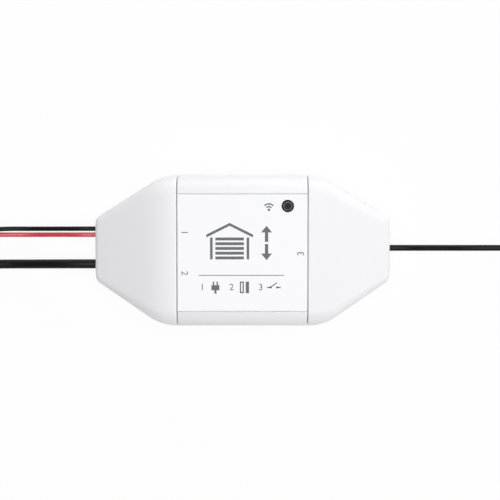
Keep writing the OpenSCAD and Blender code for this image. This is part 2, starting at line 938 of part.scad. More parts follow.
// Two-pole plug on the power wires, with chamfered edges and two contact wells
module power_plug() {
    h = plug_size[2] / 2;
    w = plug_size[1] / 2;
    e = plug_edge;
    contact_d = 1.2;
    color("ivory")
        difference() {
            translate([plug_at[0] - plug_size[0], plug_at[1], plug_at[2]])
                rotate([90, 0, 90])
                    linear_extrude(plug_size[0])
                        polygon([[-w + e, -h], [w - e, -h], [w, -h + e], [w, h - e], [w - e, h],
                            [-w + e, h], [-w, h - e], [-w, -h + e]]);
            for (y = [red_end_route[4][1], black_end_route[4][1]])
                rod_x(plug_at[0] - plug_size[0] - over, plug_at[0] - plug_size[0] / 2, y, plug_at[2], contact_d);
        }
}

// Two stripped cores at the free end of a cable
module bare_cores(at, way, core_d, pitch) {
    bare_d = 0.6 * core_d;
    for (side = [-1, 1])
        translate([at[0], at[1] + side * pitch / 2, at[2]])
            rotate([0, way * 90, 0])
                union() {
                    cylinder(d = core_d, h = core_len - core_bare);
                    cylinder(d = bare_d, h = core_len);
                }
}

module sensor_cores() {
    color("sienna")
        bare_cores(sensor_end_route[5], 1, sensor_core_d, sensor_pitch);
}

module signal_cores() {
    color("sienna")
        bare_cores(signal_end_route[5], 1, signal_core_d, signal_pitch);
}

// Band round the bundle of a coil, at an angle about the coil's centre
module coil_tie(at, angle, mid_r, turns, d, top) {
    inner = mid_r - turns * d / 2 - tie_play;
    outer = mid_r + turns * d / 2 + tie_play;
    high = top + tie_play;
    translate([at[0], at[1], 0])
        rotate([0, 0, angle])
            translate([0, tie_w / 2, 0])
                rotate([90, 0, 0])
                    linear_extrude(tie_w)
                        difference() {
                            translate([inner - tie_t, 0])
                                square([outer - inner + 2 * tie_t, high + tie_t]);
                            translate([inner, tie_t])
                                square([outer - inner, high - tie_t]);
                        }
}

module coil_ties() {
    color("#303030") {
        coil_tie(power_coil_at, 90, power_coil_r, power_turns, wire_d,
            black_coil_z + power_layers * wire_d);
        coil_tie(sensor_coil_at, 180, sensor_coil_r, sensor_turns, sensor_d,
            coil_lift + sensor_layers * sensor_d);
        coil_tie(signal_coil_at, 0, signal_coil_r, signal_turns, signal_d,
            coil_lift + signal_layers * signal_d);
    }
}

base_shell();
centre_cover();
face_panel();
left_cap();
right_cap();
button_plunger();
switch_stem();
switch_base();
switch_plate();
switch_dome();
indicator_led();
light_pipe();
circuit_board();
wifi_module();
wifi_shield();
relay();
filter_capacitor();
regulator();
small_chips();
power_header();
sensor_header();
signal_header();
power_leads();
sensor_lead();
signal_lead();
left_clamp();
right_clamp();
clamp_screws();
cap_screws();
board_screws();
red_wire();
red_coil();
red_tail();
black_wire();
black_coil();
black_tail();
power_plug();
sensor_cable();
sensor_coil();
sensor_tail();
sensor_cores();
signal_cable();
signal_coil();
signal_tail();
signal_cores();
coil_ties();
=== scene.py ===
"""Looks of the garage door controller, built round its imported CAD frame."""
import json
import math
from collections import namedtuple
from functools import partial

import bmesh
import bpy
from mathutils import Matrix, Vector


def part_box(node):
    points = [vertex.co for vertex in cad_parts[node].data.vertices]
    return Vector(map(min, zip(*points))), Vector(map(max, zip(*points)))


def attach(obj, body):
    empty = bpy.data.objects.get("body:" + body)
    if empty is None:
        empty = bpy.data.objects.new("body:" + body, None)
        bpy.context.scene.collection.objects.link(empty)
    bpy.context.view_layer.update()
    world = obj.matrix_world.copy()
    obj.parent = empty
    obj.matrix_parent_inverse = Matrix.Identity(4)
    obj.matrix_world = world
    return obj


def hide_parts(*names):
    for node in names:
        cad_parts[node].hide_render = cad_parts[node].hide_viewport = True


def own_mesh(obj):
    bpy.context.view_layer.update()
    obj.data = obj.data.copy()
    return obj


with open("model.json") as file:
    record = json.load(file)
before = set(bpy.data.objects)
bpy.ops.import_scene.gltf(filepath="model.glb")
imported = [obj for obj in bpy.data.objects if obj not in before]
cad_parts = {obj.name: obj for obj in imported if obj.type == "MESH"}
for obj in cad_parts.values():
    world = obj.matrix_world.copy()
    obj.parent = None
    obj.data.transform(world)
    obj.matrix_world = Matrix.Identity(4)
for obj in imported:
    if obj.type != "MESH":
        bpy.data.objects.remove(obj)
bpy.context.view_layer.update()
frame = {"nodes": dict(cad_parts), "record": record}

MM = 0.001


def millimetres(node):
    """Lowest and highest corner of a CAD node, in millimetres."""
    low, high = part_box(node)
    return low / MM, high / MM


# Housing sizes from the frame, in millimetres
BASE_HIGH = millimetres("base_shell")[1]
PANEL_LOW, PANEL_HIGH = millimetres("face_panel")
PLUNGER_LOW, PLUNGER_HIGH = millimetres("button_plunger")
CAP_LOW = millimetres("right_cap")[0]
HALF_LEN = BASE_HIGH.x
HALF_W = BASE_HIGH.y
SPLIT_H = BASE_HIGH.z
BODY_H = PANEL_HIGH.z
PANEL_SEAT = PANEL_LOW.z
PANEL_HALF = PANEL_HIGH.y
HALF_CENTRE = PANEL_HIGH.x
SEAM_GAP = CAP_LOW.x - HALF_CENTRE
CAP_LEN = HALF_LEN - HALF_CENTRE
BUTTON_AT = (PLUNGER_LOW + PLUNGER_HIGH) / 2

# Housing sizes that no box gives, in millimetres
END_W = 17.2
END_H = 12.5
WALL = 1.8
SHOULDER_R = 4.5
SHOULDER_END_R = 2.2
SHOULDER_FOOT = 0.5
FOOT_R = 1.4
TAPER_R = 15.0
SLOPE_R = 20.0
CORNER_R = 2.2
NOSE_R = 2.0
INNER_EDGE = 0.3
EDGE_R = 0.12
PANEL_GROOVE = 0.3
PANEL_EDGE = 0.08
PANEL_LIP = PANEL_HALF + PANEL_GROOVE
BUTTON_HOLE_R = 1.7
SHAFT_R = 1.3
BUTTON_RIM = 0.3
BUTTON_FACE_R = SHAFT_R - BUTTON_RIM
CORD_PLAY = 0.12

# Camera: a little on the +Y side of straight above, in millimetres
CAMERA_DISTANCE = 574.0
CAMERA_TILT = math.radians(4.64)
CAMERA_AIM = Vector((2.07, -1.01, 0.0))
CAMERA_LENS = 145.3
CAMERA_NEAR = 10.0

# Lamps: place and size in metres, power in watts
LAMPS = {
    "key": ((0.03, 0.02, 0.85), (0.64, 0.64), 5.28),
    "back": ((0.05, 0.62, 0.16), (1.0, 0.3), 2.15),
    "front": ((-0.05, -0.55, 0.38), (0.5, 0.3), 0.53),
    "side": ((0.65, 0.0, 0.12), (0.8, 0.24), 1.24),
}


def link(obj):
    """Puts a new object into the scene."""
    bpy.context.scene.collection.objects.link(obj)
    return obj


def add_camera():
    """Camera that looks down on the face panel, as in the photo."""
    data = bpy.data.cameras.new("camera")
    data.lens = CAMERA_LENS
    data.clip_start = CAMERA_NEAR * MM
    camera = link(bpy.data.objects.new("camera", data))
    away = Vector((0, math.sin(CAMERA_TILT), math.cos(CAMERA_TILT)))
    camera.location = (CAMERA_AIM + CAMERA_DISTANCE * away) * MM
    camera.rotation_euler = (-CAMERA_TILT, 0, 0)
    bpy.context.scene.camera = camera


def add_lamps():
    """Soft lamps that face the object."""
    for name, (place, size, watts) in LAMPS.items():
        data = bpy.data.lights.new(name, "AREA")
        data.shape = "RECTANGLE"
        data.size, data.size_y = size
        data.energy = watts
        lamp = link(bpy.data.objects.new(name, data))
        lamp.location = place
        lamp.rotation_euler = (-Vector(place)).to_track_quat("-Z", "Y").to_euler()


# Material nodes

def material(name, colour, roughness, metallic=0.0, gloss=0.5):
    """New material with a Principled shader, and the shader."""
    made = bpy.data.materials.new(name)
    made.use_nodes = True
    shader = made.node_tree.nodes["Principled BSDF"]
    shader.inputs["Base Color"].default_value = (*colour, 1)
    shader.inputs["Roughness"].default_value = roughness
    shader.inputs["Metallic"].default_value = metallic
    shader.inputs["Specular IOR Level"].default_value = gloss
    return made, shader


def noise(made, size_mm, detail=3.0):
    """Noise in object space whose features are about size_mm across."""
    place = made.node_tree.nodes.new("ShaderNodeTexCoord")
    texture = made.node_tree.nodes.new("ShaderNodeTexNoise")
    texture.inputs["Scale"].default_value = 1 / (size_mm * MM)
    texture.inputs["Detail"].default_value = detail
    made.node_tree.links.new(place.outputs["Object"], texture.inputs["Vector"])
    return texture.outputs["Fac"]


def mix_tones(made, fac, first, second):
    """Colour between a plain tone and another tone or a node's colour."""
    mix = made.node_tree.nodes.new("ShaderNodeMix")
    mix.data_type = "RGBA"
    mix.inputs["A"].default_value = (*first, 1)
    if isinstance(second, tuple):
        mix.inputs["B"].default_value = (*second, 1)
    else:
        made.node_tree.links.new(second, mix.inputs["B"])
    made.node_tree.links.new(fac, mix.inputs["Factor"])
    return mix.outputs["Result"]


def tint(made, shader, fac, dark, light):
    """Drives the base colour between two tones."""
    made.node_tree.links.new(mix_tones(made, fac, dark, light), shader.inputs["Base Color"])


def remap(made, value, source=(0, 1), target=(0, 1)):
    """Value that runs over the target range while another one runs over the source range."""
    spread = made.node_tree.nodes.new("ShaderNodeMapRange")
    spread.inputs["From Min"].default_value, spread.inputs["From Max"].default_value = source
    spread.inputs["To Min"].default_value, spread.inputs["To Max"].default_value = target
    made.node_tree.links.new(value, spread.inputs["Value"])
    return spread.outputs["Result"]


def vary_roughness(made, shader, fac, roughness, below, above):
    """Drives the roughness from a little below a value to a little above it."""
    spread = remap(made, fac, target=(roughness - below, roughness + above))
    made.node_tree.links.new(spread, shader.inputs["Roughness"])


def bump(made, shader, fac, depth_mm, strength):
    """Lets a value raise the surface."""
    node = made.node_tree.nodes.new("ShaderNodeBump")
    node.inputs["Distance"].default_value = depth_mm * MM
    node.inputs["Strength"].default_value = strength
    made.node_tree.links.new(fac, node.inputs["Height"])
    made.node_tree.links.new(node.outputs["Normal"], shader.inputs["Normal"])


def shade(colour, factor):
    """A colour made darker or lighter."""
    return tuple(channel * factor for channel in colour)


# Materials

SLEEVE_ROUGHNESS = 0.36
PLATED_ROUGHNESS = 0.3
RESIN_CLEAR = 0.85
RESIN_IOR = 1.49

# Tracks of a board: pitch in millimetres, and width and tone as shares
TRACK_PITCH = 2.4
TRACK_W = 0.06
TRACK_TONE = 1.7

# Button: tones as shares of its colour, with a painted highlight on its rim and painted shade on its shaft
# down in the hole, and the depth and soft edge of the painted highlight in millimetres
TOP_TONE = 0.42
RIM_HIGHLIGHT_TONE = 5.0
SHAFT_SHADE_TONE = 0.05
RIM_DROP = 0.1
RIM_FADE = 0.06


def moulded(name, colour, tone=1.0, roughness=0.42, grain_mm=0.25, depth_mm=0.012, vary=0.03, gloss=0.5):
    """Moulded plastic: fine satin grain, slightly uneven tone and gloss."""
    colour = shade(colour, tone)
    made, shader = material(name, colour, roughness, gloss=gloss)
    clouds = noise(made, size_mm=9)
    tint(made, shader, clouds, shade(colour, 1 - vary), colour)
    vary_roughness(made, shader, clouds, roughness, below=0.05, above=0.06)
    bump(made, shader, noise(made, grain_mm), depth_mm, strength=0.35)
    return made


def rubbery(name, colour):
    """Dull dark plastic that mirrors little, with a painted highlight along the button's rim and painted
    shade on its shaft down in the hole.
    """
    made, shader = material(name, shade(colour, TOP_TONE), roughness=0.5, gloss=0.15)
    nodes = made.node_tree.nodes
    links = made.node_tree.links
    place = nodes.new("ShaderNodeTexCoord")
    split = nodes.new("ShaderNodeSeparateXYZ")
    level = nodes.new("ShaderNodeCombineXYZ")
    reach = nodes.new("ShaderNodeVectorMath")
    reach.operation = "DISTANCE"
    reach.inputs[1].default_value = (BUTTON_AT.x * MM, BUTTON_AT.y * MM, 0)
    links.new(place.outputs["Object"], split.inputs["Vector"])
    links.new(split.outputs["X"], level.inputs["X"])
    links.new(split.outputs["Y"], level.inputs["Y"])
    links.new(level.outputs["Vector"], reach.inputs[0])
    # Painted light: a pale ring round the rim stands in for a highlight, and everything below the top is
    # painted near black as shade in the hole
    foot = PLUNGER_HIGH.z - RIM_DROP
    rim = remap(made, reach.outputs["Value"], source=(BUTTON_FACE_R * MM, (BUTTON_FACE_R + RIM_FADE) * MM))
    top = remap(made, split.outputs["Z"], source=((foot - RIM_FADE) * MM, foot * MM))
    face = mix_tones(made, rim, shade(colour, TOP_TONE), shade(colour, RIM_HIGHLIGHT_TONE))
    tint(made, shader, top, shade(colour, SHAFT_SHADE_TONE), face)
    bump(made, shader, noise(made, size_mm=0.15), depth_mm=0.01, strength=0.35)
    return made


def sleeve(name, colour, dark, light, gloss):
    """Extruded insulation: smooth, with slow waves along it and a little dust in its tone."""
    made, shader = material(name, colour, SLEEVE_ROUGHNESS, gloss=gloss)
    waves = noise(made, size_mm=2.5, detail=2)
    tint(made, shader, waves, shade(colour, dark), shade(colour, light))
    vary_roughness(made, shader, noise(made, size_mm=0.6), SLEEVE_ROUGHNESS, below=0.06, above=0.08)
    bump(made, shader, waves, depth_mm=0.03, strength=0.25)
    return made


def plated(name, colour):
    """Plated or drawn metal with fine scratches."""
    made, shader = material(name, colour, PLATED_ROUGHNESS, metallic=1.0)
    scratches = noise(made, size_mm=0.12, detail=5)
    tint(made, shader, noise(made, size_mm=1.2), shade(colour, factor=0.85), colour)
    vary_roughness(made, shader, scratches, PLATED_ROUGHNESS, below=0.08, above=0.15)
    bump(made, shader, scratches, depth_mm=0.006, strength=0.2)
    return made


def solder_mask(name, colour):
    """Lacquered board: copper tracks that show as slightly paler, raised bands."""
    made, shader = material(name, colour, roughness=0.3)
    place = made.node_tree.nodes.new("ShaderNodeTexCoord")
    tracks = made.node_tree.nodes.new("ShaderNodeTexBrick")
    tracks.inputs["Scale"].default_value = 1 / (TRACK_PITCH * MM)
    tracks.inputs["Mortar Size"].default_value = TRACK_W
    made.node_tree.links.new(place.outputs["Object"], tracks.inputs["Vector"])
    tint(made, shader, tracks.outputs["Fac"], colour, shade(colour, TRACK_TONE))
    bump(made, shader, tracks.outputs["Fac"], depth_mm=0.03, strength=0.5)
    return made


def clear(name, colour, roughness):
    """Clear resin with faint flow marks."""
    made, shader = material(name, colour, roughness)
    shader.inputs["Transmission Weight"].default_value = RESIN_CLEAR
    shader.inputs["IOR"].default_value = RESIN_IOR
    flow = noise(made, size_mm=0.8)
    vary_roughness(made, shader, flow, roughness, below=0, above=0.1)
    bump(made, shader, flow, depth_mm=0.01, strength=0.2)
    return made


def slot_materials():
    """One material for each slot of the record, from the record's colours."""
    colours = {m["slot"]: tuple(m["base_color"][:3]) for m in frame["record"]["materials"]}
    makers = {
        "white_shell": partial(moulded, roughness=0.45, grain_mm=0.22, vary=0.015, gloss=0.35),
        "face_panel": partial(moulded, tone=1.05, roughness=0.55, grain_mm=0.35, depth_mm=0.006, vary=0.01,
                              gloss=0.2),
        "dark_button": rubbery,
        "tinned_steel": plated,
        "screw_steel": plated,
        "capacitor_can": plated,
        "core_wire": plated,
        "lamp": partial(clear, roughness=0.15),
        "clear_plastic": partial(clear, roughness=0.1),
        "board": solder_mask,
        "board_dark": solder_mask,
        "red_sleeve": partial(sleeve, dark=1.31, light=1.79, gloss=1.0),
        "black_sleeve": partial(sleeve, dark=0.5, light=0.8, gloss=0.18),
    }
    return {slot: makers.get(slot, moulded)(slot, colour) for slot, colour in colours.items()}


MATERIALS = slot_materials()


def dress_cad_nodes():
    """Gives every CAD node the material of its slot."""
    for subpart in frame["record"]["subparts"]:
        mesh = frame["nodes"][subpart["node"]].data
        mesh.materials.clear()
        mesh.materials.append(MATERIALS[subpart["material_slot"]])


def dress(obj, slot, body, *nodes):
    """Gives a piece the material of a slot, hangs it on its body, and hides the CAD nodes that it stands
    for.
    """
    obj.data.materials.append(MATERIALS[slot])
    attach(obj, body)
    if nodes:
        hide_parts(*nodes)


# Floor, in millimetres, and surroundings

FLOOR_HALF = 3000.0
FLOOR_DROP = 0.1
FLOOR_WHITE = 0.92
FLOOR_PAINT = (0.93, 0.93, 0.93, 1)
WORLD_COLOUR = (0.93, 0.93, 1.0, 1.0)
WORLD_LIGHT = 0.15


def add_floor():
    """Pale floor that looks white and keeps a light shadow of the object."""
    mesh = bpy.data.meshes.new("floor")
    ends = ((-1, -1), (1, -1), (1, 1), (-1, 1))
    corners = [Vector((x * FLOOR_HALF, y * FLOOR_HALF, -FLOOR_DROP)) * MM for x, y in ends]
    mesh.from_pydata(corners, [], [(0, 1, 2, 3)])
    floor = link(bpy.data.objects.new("floor", mesh))
    mesh.materials.append(floor_material())


def floor_material():
    """Paint that a glow covers for rays from the camera, a mirror image or a clear piece."""
    made = bpy.data.materials.new("floor")
    made.use_nodes = True
    nodes = made.node_tree.nodes
    links = made.node_tree.links
    nodes.clear()
    output = nodes.new("ShaderNodeOutputMaterial")
    paint = nodes.new("ShaderNodeBsdfDiffuse")
    paint.inputs["Color"].default_value = FLOOR_PAINT
    glow = nodes.new("ShaderNodeEmission")
    seen = nodes.new("ShaderNodeLightPath")
    rays = seen.outputs["Is Camera Ray"]
    for kind in ("Is Glossy Ray", "Is Transmission Ray"):
        either = nodes.new("ShaderNodeMath")
        either.operation = "MAXIMUM"
        links.new(rays, either.inputs[0])
        links.new(seen.outputs[kind], either.inputs[1])
        rays = either.outputs["Value"]
    share = nodes.new("ShaderNodeMath")
    share.operation = "MULTIPLY"
    share.inputs[1].default_value = FLOOR_WHITE
    mix = nodes.new("ShaderNodeMixShader")
    links.new(rays, share.inputs[0])
    links.new(share.outputs["Value"], mix.inputs["Fac"])
    links.new(paint.outputs["BSDF"], mix.inputs[1])
    links.new(glow.outputs["Emission"], mix.inputs[2])
    links.new(mix.outputs["Shader"], output.inputs["Surface"])
    return made


def add_world():
    """Cool, dim studio surroundings."""
    world = bpy.data.worlds.new("studio")
    world.use_nodes = True
    sky = world.node_tree.nodes["Background"]
    sky.inputs["Color"].default_value = WORLD_COLOUR
    sky.inputs["Strength"].default_value = WORLD_LIGHT
    bpy.context.scene.world = world


# Cords: diameters, real lengths and routes, in millimetres

WIRE_D = 1.3
SENSOR_D = 2.6
SIGNAL_D = 1.7
POWER_LEN = 590
SENSOR_LEN = 1050
SIGNAL_LEN = 950

RED_ROUTE = [(-41, 3.9, 7.5), (-43, 3.9, 7.5), (-45.5, 3.89, 7.3), (-48, 3.83, 6.6), (-50.5, 3.75, 5.4),
             (-53, 3.65, 4.1), (-55.5, 3.55, 2.8), (-58, 3.47, 1.7), (-61, 3.41, 0.9), (-65, 3.4, 0.7),
             (-69, 3.4, 0.7), (-73, 3.41, 0.8), (-77, 3.43, 1)]
RED_END = [(-84.5, 3.45, 2.4), (-87.5, 3.3, 2.4), (-90.5, 2.9, 2.5), (-94, 2.6, 2.5)]
BLACK_ROUTE = [(-41, 5.6, 7.5), (-43, 5.6, 7.5), (-45.5, 5.59, 7.3), (-48, 5.53, 6.6), (-50.5, 5.45, 5.4),
               (-53, 5.35, 4.1), (-55.5, 5.25, 2.8), (-58, 5.17, 1.7), (-61, 5.11, 0.9), (-65, 5.1, 0.7),
               (-69, 5, 1.1), (-73, 4.6, 2.6), (-77, 3.9, 3.8)]
BLACK_END = [(-84.5, 3.5, 4.9), (-87.5, 3.8, 4.1), (-90.5, 4.2, 3), (-94, 4.3, 2.5)]
SENSOR_ROUTE = [(-41, -4.3, 7.5), (-44.5, -4.3, 7.5), (-48.5, -4.34, 7.1), (-52.5, -4.44, 6.1),
                (-56.5, -4.58, 4.6), (-60.5, -4.73, 3.1), (-65, -4.84, 1.9), (-71, -5, 1.4),
                (-77, -5.6, 1.3), (-83, -6.5, 1.3), (-89, -7.4, 1.3), (-95, -7.9, 1.3), (-101, -8, 1.3),
                (-108, -8, 1.4), (-115, -8, 1.7)]
SENSOR_END = [(-117, 23.2, 9.3), (-112, 23.2, 7.6), (-107.5, 23.2, 5), (-103.5, 23.2, 2.7),
              (-98, 23.2, 1.4)]
SIGNAL_ROUTE = [(41, 0.2, 7.5), (43.5, 0.2, 7.5), (46.5, 0.18, 7.2), (49.5, 0.1, 6.3), (52.5, 0, 5),
                (55.5, -0.11, 3.6), (59, -0.23, 2.2), (63, -0.3, 1.3), (67.5, -0.33, 0.9), (72, -0.33, 0.9),
                (77, -0.34, 0.9), (81.5, -0.35, 1), (86, -0.35, 1.2)]
SIGNAL_END = [(94, -0.35, 6.1), (97, -0.35, 4.6), (100, -0.35, 2.7), (103, -0.35, 1.2), (106, -0.35, 0.9)]

# Coils: turns beside each other, layers, turns in all and the way round
Coil = namedtuple("Coil", "columns layers turns way")
POWER_COIL = Coil(columns=6, layers=2, turns=12, way=-1)
SENSOR_COIL = Coil(columns=3, layers=4, turns=11.5, way=-1)
SIGNAL_COIL = Coil(columns=4, layers=4, turns=16, way=1)

Cord = namedtuple("Cord", "lead slot diameter length route coil end far_end")
CORDS = {
    "red": Cord("red_wire", "red_sleeve", WIRE_D, POWER_LEN, RED_ROUTE, POWER_COIL, RED_END, "plug"),
    "black": Cord("black_wire", "black_sleeve", WIRE_D, POWER_LEN, BLACK_ROUTE, POWER_COIL,
                  BLACK_END, "plug"),
    "sensor": Cord("sensor_cable", "black_sleeve", SENSOR_D, SENSOR_LEN, SENSOR_ROUTE, SENSOR_COIL,
                   SENSOR_END, "bare"),
    "signal": Cord("signal_cable", "black_sleeve", SIGNAL_D, SIGNAL_LEN, SIGNAL_ROUTE, SIGNAL_COIL,
                   SIGNAL_END, "bare"),
}

POINTS_PER_TURN = 20
SHIFT_SHARE = 0.25
CORD_ROUNDING = 5
CORD_STEPS = 4


def coil_points(node, diameter, coil):
    """Centre line of a coil in a CAD node's ring: each layer is wound inwards, the next one back out."""
    low, high = millimetres(node)
    centre = (low + high) / 2
    outer_r = high.x - centre.x - diameter / 2

    def place(turn):
        """Radius and height of a turn."""
        layer, column = divmod(min(turn, coil.columns * coil.layers - 1), coil.columns)
        if layer % 2:
            column = coil.columns - 1 - column
        return outer_r - column * diameter, low.z + (layer + 0.5) * diameter

    points = []
    for i in range(round(coil.turns * POINTS_PER_TURN) + 1):
        turn, step = divmod(i, POINTS_PER_TURN)
        ease = max(0.0, (step / POINTS_PER_TURN - 1 + SHIFT_SHARE) / SHIFT_SHARE)
        ease = ease * ease * (3 - 2 * ease)
        r, z = (a + (b - a) * ease for a, b in zip(place(turn), place(turn + 1)))
        angle = -math.pi / 2 + coil.way * 2 * math.pi * i / POINTS_PER_TURN
        points.append((centre.x + r * math.cos(angle), centre.y + r * math.sin(angle), z))
    return points


def cord_curve(name, points, diameter):
    """Round cord along a smooth line through points."""
    curve = bpy.data.curves.new(name, "CURVE")
    curve.dimensions = "3D"
    curve.bevel_depth = diameter / 2 * MM
    curve.bevel_resolution = CORD_ROUNDING
    curve.resolution_u = CORD_STEPS
    curve.use_fill_caps = True
    spline = curve.splines.new("BEZIER")
    spline.bezier_points.add(len(points) - 1)
    for knot, point in zip(spline.bezier_points, points):
        knot.co = Vector(point) * MM
        knot.handle_left_type = "AUTO"
        knot.handle_right_type = "AUTO"
    return link(bpy.data.objects.new(name, curve))


def add_cord(name, cord):
    """Free cord: out of the housing, into its coil, and on to its far end."""
    turns = coil_points(f"{name}_coil", cord.diameter, cord.coil)
    obj = cord_curve(f"{name}_cord", cord.route + turns + cord.end, cord.diameter)
    dress(obj, cord.slot, "housing", cord.lead, f"{name}_coil", f"{name}_tail")


def add_cords():
    """Two power wires with a shared plug, and two cables with bare cores."""
    plug = [frame["nodes"]["power_plug"]]
    pieces = {"red": plug, "black": plug, "sensor": add_cores("sensor"), "signal": add_cores("signal")}
    for name, cord in CORDS.items():
        add_cord(name, cord)


# Housing outline, as in the part's source

def taper_angle(run, drop, r):
    """Angle of the straight slope that leaves its blend arc without a corner."""
    reach = 2 * r - drop
    return 2 * math.atan((run - math.sqrt(run * run - reach * drop)) / reach)


SIDE_DROP = HALF_W - END_W / 2
TOP_DROP = BODY_H - END_H
SIDE_ANGLE = taper_angle(CAP_LEN, SIDE_DROP, TAPER_R)
TOP_ANGLE = taper_angle(CAP_LEN, TOP_DROP, SLOPE_R)
BLEND_LEN = max(TAPER_R * math.sin(SIDE_ANGLE), SLOPE_R * math.sin(TOP_ANGLE))
NOSE_LEN = max(NOSE_R * (1 - math.sin(TOP_ANGLE)), CORNER_R * (1 - math.sin(SIDE_ANGLE)))
BLEND_STEPS = 16
LINE_STEPS = 6
NOSE_STEPS = 12
ARC_STEPS = 14
EDGE_STEPS = 3


def quarter(steps):
    """Sines and cosines of a quarter turn in equal steps."""
    angles = [math.pi / 2 * i / steps for i in range(steps + 1)]
    return [(math.sin(a), math.cos(a)) for a in angles]


def full_turn(steps):
    """Angles of a full turn in equal steps."""
    return [2 * math.pi * i / steps for i in range(steps)]


def end_profile(x, inset, full, drop, angle, blend_r, end_r):
    """Half width, or height, of the housing at a place along it: straight, blend, slope, rounded corner."""
    s = abs(x) - HALF_CENTRE
    blend = blend_r - inset
    corner = max(end_r - inset, INNER_EDGE)
    lean = math.tan(angle) - 1 / math.cos(angle)
    low = full - drop + inset * lean
    to_end = max(CAP_LEN - inset - s, 0)
    if s <= 0:
        return full - inset
    if s < blend * math.sin(angle):
        return full - inset - blend + math.sqrt(blend * blend - s * s)
    if to_end > corner * (1 - math.sin(angle)):
        return low + to_end * math.tan(angle)
    return low + corner * lean + math.sqrt(max(corner * corner - (corner - to_end) ** 2, 0))


def half_width(x, inset):
    """Half width of the housing, drawn in by an inset."""
    return end_profile(x, inset, HALF_W, SIDE_DROP, SIDE_ANGLE, TAPER_R, CORNER_R)


def top_height(x, inset):
    """Height of the housing, drawn in by an inset."""
    return end_profile(x, inset, BODY_H, TOP_DROP, TOP_ANGLE, SLOPE_R, NOSE_R)


def cap_stations(start):
    """Distances along an end cap from beside the seam to the end face, closer where the outline bends."""
    line = CAP_LEN - NOSE_LEN - BLEND_LEN
    blend = [start + (BLEND_LEN - start) * i / BLEND_STEPS for i in range(1, BLEND_STEPS + 1)]
    straight = [BLEND_LEN + line * i / LINE_STEPS for i in range(1, LINE_STEPS)]
    nose = [CAP_LEN - NOSE_LEN * (1 - sine) for sine, _ in quarter(NOSE_STEPS)]
    return blend + straight + nose


def seam_steps(start):
    """Places and insets that round an edge at a seam."""
    return [(start + EDGE_R - EDGE_R * cosine, EDGE_R - EDGE_R * sine)
            for sine, cosine in quarter(EDGE_STEPS)]


# Meshes

SHARP_ANGLE = math.radians(32)
LATHE_STEPS = 48


def new_mesh(name, points, faces):
    """Mesh object from points in millimetres, with outward faces and smooth shading up to an edge angle."""
    mesh = bpy.data.meshes.new(name)
    mesh.from_pydata([Vector(p) * MM for p in points], [], faces)
    build = bmesh.new()
    build.from_mesh(mesh)
    bmesh.ops.recalc_face_normals(build, faces=build.faces)
    build.to_mesh(mesh)
    build.free()
    smooth(mesh)
    return link(bpy.data.objects.new(name, mesh))


def smooth(mesh):
    """Shades a mesh smooth, apart from its sharp edges."""
    mesh.polygons.foreach_set("use_smooth", [True] * len(mesh.polygons))
    mesh.set_sharp_from_angle(angle=SHARP_ANGLE)


def shell(name, outer, inner, closed_end, cyclic):
    """Closed wall between two grids of points: rims where they are open, end faces at a closed end."""
    rows = len(outer)
    columns = len(outer[0])
    points = [p for row in outer + inner for p in row]
    shift = rows * columns
    spans = [(c, (c + 1) % columns) for c in range(columns if cyclic else columns - 1)]
    faces = []

    def wall(a, b):
        """Joins an edge of the outer grid to the same edge of the inner one."""
        faces.append((a, b, b + shift, a + shift))

    for r in range(rows - 1):
        for a, b in spans:
            quad = (r * columns + a, (r + 1) * columns + a, (r + 1) * columns + b, r * columns + b)
            faces.append(quad)
            faces.append(tuple(i + shift for i in quad))
        if not cyclic:
            for c in (0, columns - 1):
                wall(r * columns + c, (r + 1) * columns + c)
    last = (rows - 1) * columns
    for a, b in spans:
        wall(a, b)
        if not closed_end:
            wall(last + a, last + b)
    if closed_end:
        end = [last + c for c in range(columns)]
        faces.append(end)
        faces.append([i + shift for i in end])
        if not cyclic:
            wall(end[0], end[-1])
    return new_mesh(name, points, faces)


def grid_faces(rows, columns, cyclic_rows):
    """Quads of a grid of points that closes on itself across its columns, and if asked along its rows."""
    faces = []
    for r in range(rows if cyclic_rows else rows - 1):
        here = r * columns
        following = (r + 1) % rows * columns
        for c in range(columns):
            d = (c + 1) % columns
            faces.append((here + c, here + d, following + d, following + c))
    return faces


def loft(name, rows):
    """Closed skin through rings with equally many points, with flat ends."""
    columns = len(rows[0])
    faces = grid_faces(len(rows), columns, cyclic_rows=False)
    faces.append(list(range(columns)))
    faces.append([(len(rows) - 1) * columns + c for c in range(columns)])
    return new_mesh(name, [p for row in rows for p in row], faces)


def hoop(name, rows):
    """Closed skin through rings with equally many points, the last of which meets the first."""
    faces = grid_faces(len(rows), len(rows[0]), cyclic_rows=True)
    return new_mesh(name, [p for row in rows for p in row], faces)


def lathe(name, outline, at):
    """Solid of revolution about an upright axis, from radii and heights that start and end on it."""
    rings = outline[1:-1]
    angles = full_turn(LATHE_STEPS)
    points = [(at[0] + r * math.cos(a), at[1] + r * math.sin(a), z) for r, z in rings for a in angles]
    faces = grid_faces(len(rings), LATHE_STEPS, cyclic_rows=False)
    last = (len(rings) - 1) * LATHE_STEPS
    for first, (_, z) in ((0, outline[0]), (last, outline[-1])):
        faces += [(len(points), first + i, first + (i + 1) % LATHE_STEPS) for i in range(LATHE_STEPS)]
        points.append((at[0], at[1], z))
    return new_mesh(name, points, faces)


# Cuts

ROD_SIDES = 40
CUT_PAST = 1.0


def carve(obj, shape):
    """Takes a shape out of a piece."""
    mesh = bpy.data.meshes.new("cutter")
    shape.to_mesh(mesh)
    shape.free()
    cutter = link(bpy.data.objects.new("cutter", mesh))
    tool = obj.modifiers.new("cut", "BOOLEAN")
    tool.operation = "DIFFERENCE"
    tool.solver = "EXACT"
    tool.object = cutter
    apply_modifiers(obj)
    bpy.data.objects.remove(cutter)


def apply_modifiers(obj):
    """Makes the shape that a piece's modifiers give its own mesh."""
    bpy.context.view_layer.update()
    shaped = obj.evaluated_get(bpy.context.evaluated_depsgraph_get())
    old = obj.data
    obj.data = bpy.data.meshes.new_from_object(shaped)
    obj.modifiers.clear()
    bpy.data.meshes.remove(old)
    smooth(obj.data)


